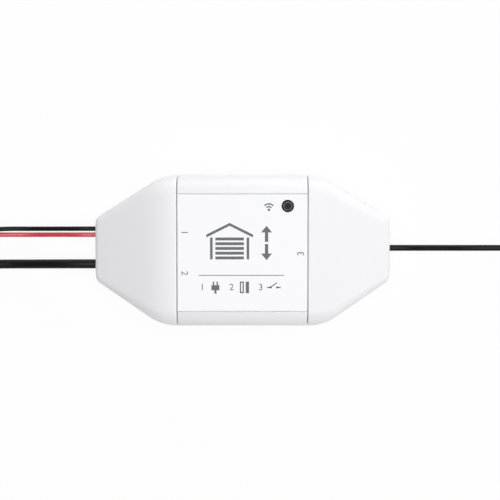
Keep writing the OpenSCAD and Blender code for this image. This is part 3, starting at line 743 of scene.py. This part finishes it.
def cut_rod(obj, place, r, length):
    """Takes a rod with this place, radius and length out of a piece."""
    shape = bmesh.new()
    bmesh.ops.create_cone(shape, cap_ends=True, segments=ROD_SIDES, radius1=r * MM, radius2=r * MM,
                          depth=length * MM, matrix=place)
    carve(obj, shape)


def cut_box(obj, at, half):
    """Takes a box with this centre and these half sizes out of a piece."""
    shape = bmesh.new()
    place = Matrix.Translation(Vector(at) * MM) @ Matrix.Diagonal((*half, 1))
    bmesh.ops.create_cube(shape, size=2 * MM, matrix=place)
    carve(obj, shape)


def drill(obj, x_span, y, z, r):
    """Cuts a round hole along X through a piece."""
    low, high = x_span
    turn = Matrix.Rotation(math.pi / 2, 4, "Y")
    cut_rod(obj, Matrix.Translation(Vector(((low + high) / 2, y, z)) * MM) @ turn, r, high - low)


def bore(obj, x, y, z_span, r):
    """Cuts an upright round hole into a piece."""
    low, high = z_span
    cut_rod(obj, Matrix.Translation(Vector((x, y, (low + high) / 2)) * MM), r, high - low)


def drill_cord_holes(obj, way):
    """Cuts the holes of the cords that leave at one end of the housing."""
    span = sorted((way * (HALF_LEN - 2 * WALL), way * (HALF_LEN + CUT_PAST)))
    for cord in CORDS.values():
        x, y, _ = cord.route[0]
        if x * way > 0:
            drill(obj, span, y, SPLIT_H, cord.diameter / 2 + CORD_PLAY)


# Housing pieces

# Points inside the cover, in steps of the panel's edge from its groove: they keep the end faces flat
LIP_SHARES = (3, 2, 1, -1)

# Tongues of the centre cover, in millimetres
TONGUE_PLAY = 0.35
TONGUE_T = 0.9
TONGUE_LEN = 1.5
TONGUE_ROOT = 2.0

# Tray: rise from each inner row to the next above the floor, in millimetres
INNER_STEP = 0.01

# Cap screws, in millimetres
SCREW_HOLE_R = 2.15
SCREW_HEAD_R = 1.9
SCREW_HEAD_H = 1.4
SCREW_EDGE = 0.4
SCREW_EDGE_STEPS = 5
SCREW_R = 0.95
SCREW_TIP = 0.5
SCREW_TIP_R = 0.45
RECESS_HALF_LEN = 1.1
RECESS_HALF_W = 0.18
RECESS_DEPTH = 0.75


def mirrored(side):
    """A half section followed by its mirror image in Y."""
    return side + [(-y, z) for y, z in reversed(side)]


def row_at(x, section):
    """Points of a section at a place along the housing."""
    return [(x, y, z) for y, z in section]


def arch_side(w, h, r):
    """Half of an arch-shaped section: rounded edge at the parting line, straight side, shoulder."""
    edge = [(w - EDGE_R + EDGE_R * sine, SPLIT_H + EDGE_R - EDGE_R * cosine)
            for sine, cosine in quarter(EDGE_STEPS)]
    return edge + [(w - r + r * cosine, h - r + r * sine) for sine, cosine in quarter(ARC_STEPS)]


def cap_row(x, inset):
    """Section of an end cap, whose shoulders narrow towards the end face."""
    h = top_height(x, inset)
    share = max((x - HALF_CENTRE) / CAP_LEN, 0)
    r = SHOULDER_R + (SHOULDER_END_R - SHOULDER_R) * share
    r = max(min(r - inset, h - SPLIT_H - SHOULDER_FOOT), INNER_EDGE)
    return mirrored(arch_side(half_width(x, inset), h, r))


def add_end_cap(name, node, way):
    """Upper end cover: tapered in plan and in height, with soft edges at the seam and the parting line."""
    stations = seam_steps(SEAM_GAP) + [(s, 0) for s in cap_stations(SEAM_GAP + EDGE_R)]
    inner_scale = (CAP_LEN - WALL - SEAM_GAP) / (CAP_LEN - SEAM_GAP)
    outer = []
    inner = []
    for s, inset in stations:
        x = HALF_CENTRE + s
        outer.append(row_at(way * x, cap_row(x, inset)))
        x = HALF_CENTRE + SEAM_GAP + (s - SEAM_GAP) * inner_scale
        inner.append(row_at(way * x, cap_row(x, WALL)))
    cap = shell(name, outer, inner, closed_end=True, cyclic=False)
    drill_cord_holes(cap, way)
    dress(cap, "white_shell", "housing", node)


def cover_row(inset):
    """Section of the centre cover, with the step that the face panel lies in."""
    top = BODY_H - inset
    side = arch_side(HALF_W - inset, top, SHOULDER_R - inset)[:-1]
    side += [(PANEL_LIP + PANEL_EDGE, top), (PANEL_LIP, top - PANEL_EDGE), (PANEL_LIP, PANEL_SEAT)]
    return mirrored(side)


def cover_inner_row():
    """Inside of the centre cover, with as many points as its outer section."""
    top = BODY_H - WALL
    side = arch_side(HALF_W - WALL, top, SHOULDER_R - WALL)[:-2]
    side += [(PANEL_LIP + share * PANEL_EDGE, top) for share in LIP_SHARES]
    return mirrored(side)


def add_centre_cover():
    """Upper shell of the straight middle, pierced for the button."""
    edge = [(HALF_CENTRE - s, inset) for s, inset in seam_steps(0)]
    stations = edge + [(-x, inset) for x, inset in reversed(edge)]
    outer = [row_at(x, cover_row(inset)) for x, inset in stations]
    inner = [row_at(x, cover_inner_row()) for x, _ in stations]
    cover = shell("cover_shell", outer, inner, closed_end=False, cyclic=False)
    bore(cover, BUTTON_AT.x, BUTTON_AT.y, (PANEL_SEAT - 2 * WALL, BODY_H + CUT_PAST), BUTTON_HOLE_R)
    dress(cover, "white_shell", "housing", "centre_cover")


def add_cover_tongue(name, way):
    """Tongue inside one end of the centre cover, which shuts the seam from within."""
    inset = WALL + TONGUE_PLAY
    ends = [way * (HALF_CENTRE - TONGUE_ROOT), way * (HALF_CENTRE + SEAM_GAP + TONGUE_LEN)]
    grids = []
    for depth in (inset, inset + TONGUE_T):
        section = mirrored(arch_side(HALF_W - depth, BODY_H - depth, SHOULDER_R - depth))
        grids.append([row_at(x, section) for x in ends])
    tongue = shell(name, *grids, closed_end=False, cyclic=False)
    dress(tongue, "white_shell", "housing", "centre_cover")


def plan_row(inset, z):
    """Outline of the housing seen from above, drawn in by an inset, at a height."""
    scale = (CAP_LEN - inset) / CAP_LEN
    right = [HALF_CENTRE + s * scale for s in [0] + cap_stations(0)]
    quarter_line = [(x, half_width(x, inset)) for x in right]
    front = quarter_line + [(x, -y) for x, y in reversed(quarter_line)]
    return [(x, y, z) for x, y in front + [(-x, -y) for x, y in front]]


def cap_screw_places():
    """Places of the four cap screws in the back."""
    high = millimetres("cap_screws")[1]
    x = high.x - SCREW_HEAD_R
    y = high.y - SCREW_HEAD_R
    return [(sx * x, sy * y) for sx in (-1, 1) for sy in (-1, 1)]


def add_base():
    """Lower tray with a rounded foot, cord holes and four sunk screw holes."""
    rim = [(EDGE_R - EDGE_R * cosine, SPLIT_H - EDGE_R + EDGE_R * sine)
           for sine, cosine in reversed(quarter(EDGE_STEPS))]
    foot = [(FOOT_R - FOOT_R * cosine, FOOT_R - FOOT_R * sine) for sine, cosine in quarter(NOSE_STEPS)]
    levels = rim + foot
    outer = [plan_row(inset, z) for inset, z in levels]
    inner = [plan_row(WALL, max(z, WALL + INNER_STEP * (len(levels) - i)))
             for i, (_, z) in enumerate(levels)]
    base = shell("base_tray", outer, inner, closed_end=True, cyclic=True)
    drill_cord_holes(base, 1)
    drill_cord_holes(base, -1)
    for x, y in cap_screw_places():
        bore(base, x, y, (-CUT_PAST, 2 * WALL), SCREW_HOLE_R)
    dress(base, "white_shell", "housing", "base_shell")


def add_cap_screws():
    """Pan-head screws with a cross recess, sunk in the back."""
    low, high = (corner.z for corner in millimetres("cap_screws"))
    head = [(SCREW_HEAD_R - SCREW_EDGE + SCREW_EDGE * sine, low + SCREW_EDGE - SCREW_EDGE * cosine)
            for sine, cosine in quarter(SCREW_EDGE_STEPS)]
    shank = [(SCREW_HEAD_R, low + SCREW_HEAD_H), (SCREW_R, low + SCREW_HEAD_H), (SCREW_R, high - SCREW_TIP)]
    outline = [(0, low)] + head + shank + [(SCREW_TIP_R, high), (0, high)]
    for i, (x, y) in enumerate(cap_screw_places(), 1):
        screw = lathe(f"cap_screw_{i}", outline, (x, y))
        for half in ((RECESS_HALF_LEN, RECESS_HALF_W), (RECESS_HALF_W, RECESS_HALF_LEN)):
            cut_box(screw, (x, y, low), (*half, RECESS_DEPTH))
        dress(screw, "screw_steel", "housing", "cap_screws")


# Face panel: rays from the button's centre, and how far the edge of its hole runs out and up in millimetres
PANEL_RAYS = 72
RAY_SHIFT = 0.01
PANEL_EDGE_STEPS = 4
HOLE_LIP = ((0, 0), (0.02, 0.05), (PANEL_EDGE, PANEL_EDGE), (2 * PANEL_EDGE, PANEL_EDGE))


def rect_point(angle, inset):
    """Where a ray from the button's centre meets the edge of the face panel, drawn in by an inset."""
    dx = math.cos(angle)
    dy = math.sin(angle)
    reach = min((math.copysign(HALF_CENTRE - inset, dx) - BUTTON_AT.x) / dx,
                (math.copysign(PANEL_HALF - inset, dy) - BUTTON_AT.y) / dy)
    return BUTTON_AT.x + reach * dx, BUTTON_AT.y + reach * dy


def add_face_panel():
    """Flat plate with softly rounded edges, pierced for the button."""
    corners = [math.atan2(sy * PANEL_HALF - BUTTON_AT.y, sx * HALF_CENTRE - BUTTON_AT.x)
               for sx in (-1, 1) for sy in (-1, 1)]
    rays = [2 * math.pi * i / PANEL_RAYS - math.pi + RAY_SHIFT for i in range(PANEL_RAYS)]
    angles = sorted(corners + rays)
    hole = [(BUTTON_HOLE_R, PANEL_SEAT)]
    hole += [(BUTTON_HOLE_R + out, BODY_H - PANEL_EDGE + up) for out, up in HOLE_LIP]
    rim = [(2 * PANEL_EDGE, 0)]
    rim += [(PANEL_EDGE - PANEL_EDGE * sine, PANEL_EDGE - PANEL_EDGE * cosine)
            for sine, cosine in quarter(PANEL_EDGE_STEPS)]
    rim.append((0, BODY_H - PANEL_SEAT))
    rows = [[(BUTTON_AT.x + r * math.cos(a), BUTTON_AT.y + r * math.sin(a), z) for a in angles]
            for r, z in hole]
    rows += [[(*rect_point(a, inset), BODY_H - drop) for a in angles] for inset, drop in rim]
    dress(hoop("panel_plate", rows), "face_panel", "housing", "face_panel")


# Button and snap dome, in millimetres and as shares

SHAFT_LEN = 4.5
GUIDE_PLAY = 0.09
FLANGE_T = 0.8
BUTTON_RIM_STEPS = 6
DISH_DEPTH = 0.06
DISH_SHARES = (0.85, 0.6, 0.3)
DOME_T = 0.1
DOME_STEPS = 10


def add_button():
    """Plunger with a rounded rim and a shallow dish in its face."""
    guided_r = BUTTON_HOLE_R - GUIDE_PLAY
    flange_r = PLUNGER_HIGH.x - BUTTON_AT.x
    low = PLUNGER_LOW.z
    high = PLUNGER_HIGH.z
    step = high - SHAFT_LEN
    flange = [(0, low), (flange_r, low), (flange_r, low + FLANGE_T), (guided_r, low + FLANGE_T)]
    shaft = [(guided_r, step), (SHAFT_R, step)]
    rim = [(BUTTON_FACE_R + BUTTON_RIM * cosine, high - BUTTON_RIM + BUTTON_RIM * sine)
           for sine, cosine in quarter(BUTTON_RIM_STEPS)]
    dish = [(share * BUTTON_FACE_R, high - DISH_DEPTH * (1 - share * share)) for share in DISH_SHARES]
    outline = flange + shaft + rim + dish + [(0, high - DISH_DEPTH)]
    dress(lathe("button_cap", outline, BUTTON_AT), "dark_button", "button", "button_plunger")


def add_switch_dome():
    """Thin snap dome of the push switch, which flattens under the button."""
    low, high = millimetres("switch_dome")
    at = (low + high) / 2
    r = (high.x - low.x) / 2
    rise = high.z - low.z - DOME_T
    inside = [(r * i / DOME_STEPS, low.z + rise * (1 - (i / DOME_STEPS) ** 2))
              for i in range(DOME_STEPS + 1)]
    outside = [(x, z + DOME_T) for x, z in reversed(inside)]
    dome = lathe("snap_dome", inside + outside, at)
    dress(dome, "tinned_steel", "housing", "switch_dome")
    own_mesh(dome)


# Cord ends and ties

RING_POINTS = 24
BOX_CORNER_STEPS = 6

# Bare cores: lengths in millimetres, and shares of a core's diameter
CORE_SLOTS = ("red_sleeve", "black_sleeve")
STRIPPED = 4.0
CORE_ROOT = 1.0
STRAND_ROOT = 0.5
CORE_EDGE = 0.12
STRAND_R = 0.3

# Twisted strands: grooves between them as a share of their radius, turns and points
STRAND_LOBES = 6
STRAND_GROOVE = 0.2
STRAND_TURNS = 1.5
STRAND_STEPS = 24
STRAND_POINTS = 48

# Ties round the coils, in millimetres
TIE_W = 2.0
TIE_T = 0.35
TIE_PLAY = 0.2
TIE_CORNER = 0.9

# Ribs and latch of the power plug, in millimetres
RIB_COUNT = 4
RIB_FIRST = 1.4
RIB_PITCH = 1.3
RIB_OUT = 0.3
RIB_W = 0.6
RIB_HALF_H = 1.5
RIB_CORNER = 0.25
LATCH_FROM = 1.5
LATCH_CREST = 3.6
LATCH_TO = 4.2
LATCH_H = 0.55
LATCH_HALF_W = 1.2


def ring(x, y, z, r):
    """Ring of points about a line along X."""
    return [(x, y + r * math.cos(a), z + r * math.sin(a)) for a in full_turn(RING_POINTS)]


def strand_section(r, turn):
    """Angles and radii of a bundle of strands, turned about its axis."""
    return [(a + turn, r * (1 - STRAND_GROOVE + STRAND_GROOVE * abs(math.sin(a * STRAND_LOBES / 2))))
            for a in full_turn(STRAND_POINTS)]


def add_cores(cable):
    """Two stripped cores at the free end of a cable: short sleeves with twisted strands in them."""
    node = f"{cable}_cores"
    low, high = millimetres(node)
    d = high.z - low.z
    z = (low.z + high.z) / 2
    cut_x = high.x - STRIPPED
    edge = CORE_EDGE * d
    steps = [(low.x - CORE_ROOT, d / 2), (cut_x - edge, d / 2), (cut_x, d / 2 - edge)]
    pieces = []
    for i, (y, slot) in enumerate(zip((low.y + d / 2, high.y - d / 2), CORE_SLOTS), 1):
        cover = loft(f"{cable}_core_sleeve_{i}", [ring(x, y, z, r) for x, r in steps])
        dress(cover, slot, "housing", node)
        rows = []
        for k in range(STRAND_STEPS + 1):
            x = cut_x - STRAND_ROOT + (STRIPPED + STRAND_ROOT) * k / STRAND_STEPS
            section = strand_section(STRAND_R * d, 2 * math.pi * STRAND_TURNS * k / STRAND_STEPS)
            rows.append([(x, y + r * math.cos(a), z + r * math.sin(a)) for a, r in section])
        strands = loft(f"{cable}_core_strands_{i}", rows)
        dress(strands, "core_wire", "housing")
        pieces += [cover, strands]
    return pieces


def rounded_box(x0, x1, y0, y1, r):
    """Closed outline of a box with round corners."""
    centres = ((x1 - r, y1 - r), (x0 + r, y1 - r), (x0 + r, y0 + r), (x1 - r, y0 + r))
    points = []
    for k, (x, y) in enumerate(centres):
        for i in range(BOX_CORNER_STEPS + 1):
            a = math.pi / 2 * (k + i / BOX_CORNER_STEPS)
            points.append((x + r * math.cos(a), y + r * math.sin(a)))
    return points


def add_tie(name, lowest, highest, angle):
    """Band with rounded corners round the turns of one coil, or of two that lie on each other."""
    low, high = millimetres(f"{lowest}_coil")
    top = millimetres(f"{highest}_coil")[1].z + TIE_PLAY
    cord = CORDS[lowest]
    centre = (low + high) / 2
    outer_r = (high.x - low.x) / 2
    inner = outer_r - cord.coil.columns * cord.diameter - TIE_PLAY
    outer = outer_r + TIE_PLAY
    across = Vector((math.cos(angle), math.sin(angle), 0))
    along = Vector((-across.y, across.x, 0))
    inside = rounded_box(inner, outer, TIE_T, top, TIE_CORNER)
    outside = rounded_box(inner - TIE_T, outer + TIE_T, 0, top + TIE_T, TIE_CORNER + TIE_T)
    rows = []
    for near, far in zip(inside, outside):
        rows.append([(centre.x + across.x * r + along.x * side * TIE_W / 2,
                      centre.y + across.y * r + along.y * side * TIE_W / 2, z)
                     for (r, z), side in ((far, -1), (far, 1), (near, 1), (near, -1))])
    dress(hoop(name, rows), "black_plastic", "housing", "coil_ties")


def add_plug_ribs():
    """Finger ribs on the two sides of the power plug, and the latch on its top."""
    low, high = millimetres("power_plug")
    mid = (low + high) / 2
    outline = rounded_box(-RIB_W / 2, RIB_W / 2, -RIB_OUT, RIB_OUT, RIB_CORNER)
    for i in range(RIB_COUNT):
        x = high.x - RIB_FIRST - RIB_PITCH * i
        for side, y in (("a", low.y), ("b", high.y)):
            rows = [[(x + dx, y + dy, z) for dx, dy in outline]
                    for z in (mid.z - RIB_HALF_H, mid.z + RIB_HALF_H)]
            dress(loft(f"plug_rib_{side}_{i + 1}", rows), "ivory_plastic", "housing")
    crest = high.z + LATCH_H
    wedge = [(low.x + LATCH_FROM, high.z), (low.x + LATCH_CREST, crest), (low.x + LATCH_TO, crest),
             (low.x + LATCH_TO, high.z)]
    rows = [[(x, y, z) for x, z in wedge] for y in (mid.y - LATCH_HALF_W, mid.y + LATCH_HALF_W)]
    dress(loft("plug_latch", rows), "ivory_plastic", "housing")


# Printed marks on the panel, in millimetres: signs are drawn about their own centres

PRINT_T = 0.012
PRINT_GREY = (0.12, 0.12, 0.125)
STROKE = 0.35
ARC_POINTS = 20
DISC_POINTS = 24

# Port numbers: place, and turn in degrees
NUMBERS = {"1": ((-15.9, 5.6), -90), "2": ((-15.9, -5.6), -90), "3": ((16.0, -0.2), 90)}
NUMBER_SIZE = 2.6

# Wireless sign: inner radius, outer radius and half spread in degrees of each wave, and the dot
WIRELESS_AT = (7.24, 11.79)
WAVES = ((1.42, 1.8, 48), (0.66, 1.03, 52))
DOT_R = 0.36

# Garage and its arrows
GARAGE_AT = (-3.5, 2.8)
ROOF_HALF = 6.4
ROOF_RISE = 3.2
ROOF_T = 0.8
EAVES = 1.4
GROUND = -4.6
GARAGE_WALL_X = 5.0
SLAT_COUNT = 5
SLAT_HALF = 3.9
SLAT_T = 0.8
SLAT_PITCH = 1.3
UP_AT = (6.6, 5.2)
DOWN_AT = (6.6, 0.2)
ARROW_HALF = 2.2
ARROW_NECK = 0.4
ARROW_HEAD_HALF = 1.5
ARROW_SHAFT_HALF = 0.45

# Legend of the ports: boxes are left, low, right, high
LEGEND_X = -11.0
LEGEND_Y = -9.5
LEGEND_PITCH = 8.0
LEGEND_SIGN_X = 3.6
LEGEND_LINE = (-1.0, 3.2, 2 * LEGEND_PITCH + 6.4, 3.4)
PLUG_BOXES = ((-0.3, -1.7, 0.3, -0.8), (-1.1, -0.8, 1.1, 0.6), (-0.7, 0.6, -0.3, 1.6), (0.3, 0.6, 0.7, 1.6))
SENSOR_FRAME = (-1.3, -1.6, -0.2, 1.6)
SENSOR_BLOCK = (0.3, -1.6, 1.2, 1.6)
CONTACT_X = 0.9
CONTACT_R = 0.3
WIRE_END = 1.9
WIRE_HALF = 0.15
LEVER = [(-0.9, -0.15), (0.9, 1.15), (0.75, 1.4), (-1.05, 0.1)]


def ink():
    """Pad-printed grey ink, a little thin in places."""
    made, shader = material("ink", PRINT_GREY, roughness=0.55)
    dark = shade(PRINT_GREY, factor=0.8)
    tint(made, shader, noise(made, size_mm=0.12), dark, shade(PRINT_GREY, factor=1.35))
    return made


INK = ink()


def dress_print(mark):
    """Inks a mark, which rides on the housing."""
    mark.data.materials.append(INK)
    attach(mark, "housing")


def add_print(name, outlines):
    """Flat printed mark on the face panel."""
    points = []
    faces = []
    for outline in outlines:
        count = len(outline)
        low = range(len(points), len(points) + count)
        high = range(len(points) + count, len(points) + 2 * count)
        points += [(x, y, BODY_H) for x, y in outline]
        points += [(x, y, BODY_H + PRINT_T) for x, y in outline]
        faces += [list(low), list(high)]
        for i in range(count):
            j = (i + 1) % count
            faces.append((low[i], low[j], high[j], high[i]))
    dress_print(new_mesh(name, points, faces))


def add_number(name, text, at, turn):
    """Plain number, turned to be read from its side of the housing."""
    curve = bpy.data.curves.new(name, "FONT")
    curve.body = text
    curve.size = NUMBER_SIZE * MM
    curve.align_x = "CENTER"
    curve.align_y = "CENTER"
    curve.extrude = PRINT_T / 2 * MM
    flat = link(bpy.data.objects.new("number_outline", curve))
    bpy.context.view_layer.update()
    mesh = bpy.data.meshes.new_from_object(flat.evaluated_get(bpy.context.evaluated_depsgraph_get()))
    bpy.data.objects.remove(flat)
    place = Matrix.Translation(Vector((*at, BODY_H + PRINT_T / 2)) * MM)
    mesh.transform(place @ Matrix.Rotation(math.radians(turn), 4, "Z"))
    dress_print(link(bpy.data.objects.new(name, mesh)))


def moved(outlines, x, y):
    """Outlines shifted to a place."""
    return [[(x + dx, y + dy) for dx, dy in outline] for outline in outlines]


def arc(r, angles):
    """Points round the centre at a radius."""
    return [(r * math.cos(a), r * math.sin(a)) for a in angles]


def arc_band(inner_r, outer_r, spread):
    """Outline of a band that bends over the centre, to both sides of straight up."""
    angles = [math.radians(90 - spread + 2 * spread * i / ARC_POINTS) for i in range(ARC_POINTS + 1)]
    return arc(outer_r, angles) + arc(inner_r, reversed(angles))


def bar(x0, y0, x1, y1):
    """Outline of an upright box."""
    return [(x0, y0), (x1, y0), (x1, y1), (x0, y1)]


def box_frame(x0, y0, x1, y1):
    """Outlines of the four strokes round a box."""
    return [bar(x0, y0, x1, y0 + STROKE), bar(x0, y1 - STROKE, x1, y1),
            bar(x0, y0 + STROKE, x0 + STROKE, y1 - STROKE), bar(x1 - STROKE, y0 + STROKE, x1, y1 - STROKE)]


def wireless_sign():
    """Two waves over a dot."""
    return [arc_band(*wave) for wave in WAVES] + [arc(DOT_R, full_turn(DISC_POINTS))]


def arrow(way):
    """Filled arrow that points up or down."""
    neck = way * ARROW_NECK
    low, high = sorted((neck, -way * ARROW_HALF))
    return [[(-ARROW_HEAD_HALF, neck), (ARROW_HEAD_HALF, neck), (0, way * ARROW_HALF)],
            bar(-ARROW_SHAFT_HALF, low, ARROW_SHAFT_HALF, high)]


def garage_sign():
    """Pictogram of a garage: roof, walls and the slats of the door."""
    high = EAVES + ROOF_T
    roof = [(-ROOF_HALF, high), (0, high + ROOF_RISE), (ROOF_HALF, high), (ROOF_HALF, EAVES),
            (0, EAVES + ROOF_RISE), (-ROOF_HALF, EAVES)]
    walls = [bar(x - STROKE, GROUND, x + STROKE, EAVES) for x in (-GARAGE_WALL_X, GARAGE_WALL_X)]
    lows = [GROUND + SLAT_PITCH * i for i in range(SLAT_COUNT)]
    return [roof] + walls + [bar(-SLAT_HALF, low, SLAT_HALF, low + SLAT_T) for low in lows]


def plug_sign():
    """Pictogram of a supply plug with its two pins."""
    return [bar(*box) for box in PLUG_BOXES]


def sensor_sign():
    """Pictogram of a door contact: two blocks side by side."""
    return box_frame(*SENSOR_FRAME) + [bar(*SENSOR_BLOCK)]


def switch_sign():
    """Pictogram of an open contact."""
    wires = [bar(-WIRE_END, -WIRE_HALF, -CONTACT_X, WIRE_HALF),
             bar(CONTACT_X, -WIRE_HALF, WIRE_END, WIRE_HALF)]
    contact = [arc(CONTACT_R, full_turn(DISC_POINTS))]
    return wires + [LEVER] + moved(contact, -CONTACT_X, 0) + moved(contact, CONTACT_X, 0)


def add_prints():
    """Wireless sign, port numbers, a garage and a legend of the ports."""
    add_print("wireless_sign", moved(wireless_sign(), *WIRELESS_AT))
    for text, (at, turn) in NUMBERS.items():
        add_number(f"port_{text}", text, at, turn)
    arrows = moved(arrow(1), *UP_AT) + moved(arrow(-1), *DOWN_AT)
    add_print("door_sign", moved(garage_sign(), *GARAGE_AT) + arrows)
    legend = {"1": plug_sign, "2": sensor_sign, "3": switch_sign}
    for i, (text, sign) in enumerate(legend.items()):
        x = LEGEND_X + LEGEND_PITCH * i
        add_number(f"legend_{text}", text, (x, LEGEND_Y), 0)
        add_print(f"legend_sign_{text}", moved(sign(), x + LEGEND_SIGN_X, LEGEND_Y))
    add_print("legend_line", moved([bar(*LEGEND_LINE)], LEGEND_X, LEGEND_Y))


# The scene

bpy.context.scene.view_settings.view_transform = "Standard"
add_camera()
add_floor()
add_world()
add_lamps()
dress_cad_nodes()
add_cords()
add_base()
add_centre_cover()
add_face_panel()
add_end_cap("left_end", "left_cap", -1)
add_end_cap("right_end", "right_cap", 1)
add_cover_tongue("left_tongue", -1)
add_cover_tongue("right_tongue", 1)
add_button()
add_switch_dome()
add_cap_screws()
add_tie("power_tie", "red", "black", math.pi / 2)
add_tie("sensor_tie", "sensor", "sensor", math.pi)
add_tie("signal_tie", "signal", "signal", 0)
add_plug_ribs()
add_prints()

bpy.context.view_layer.update()
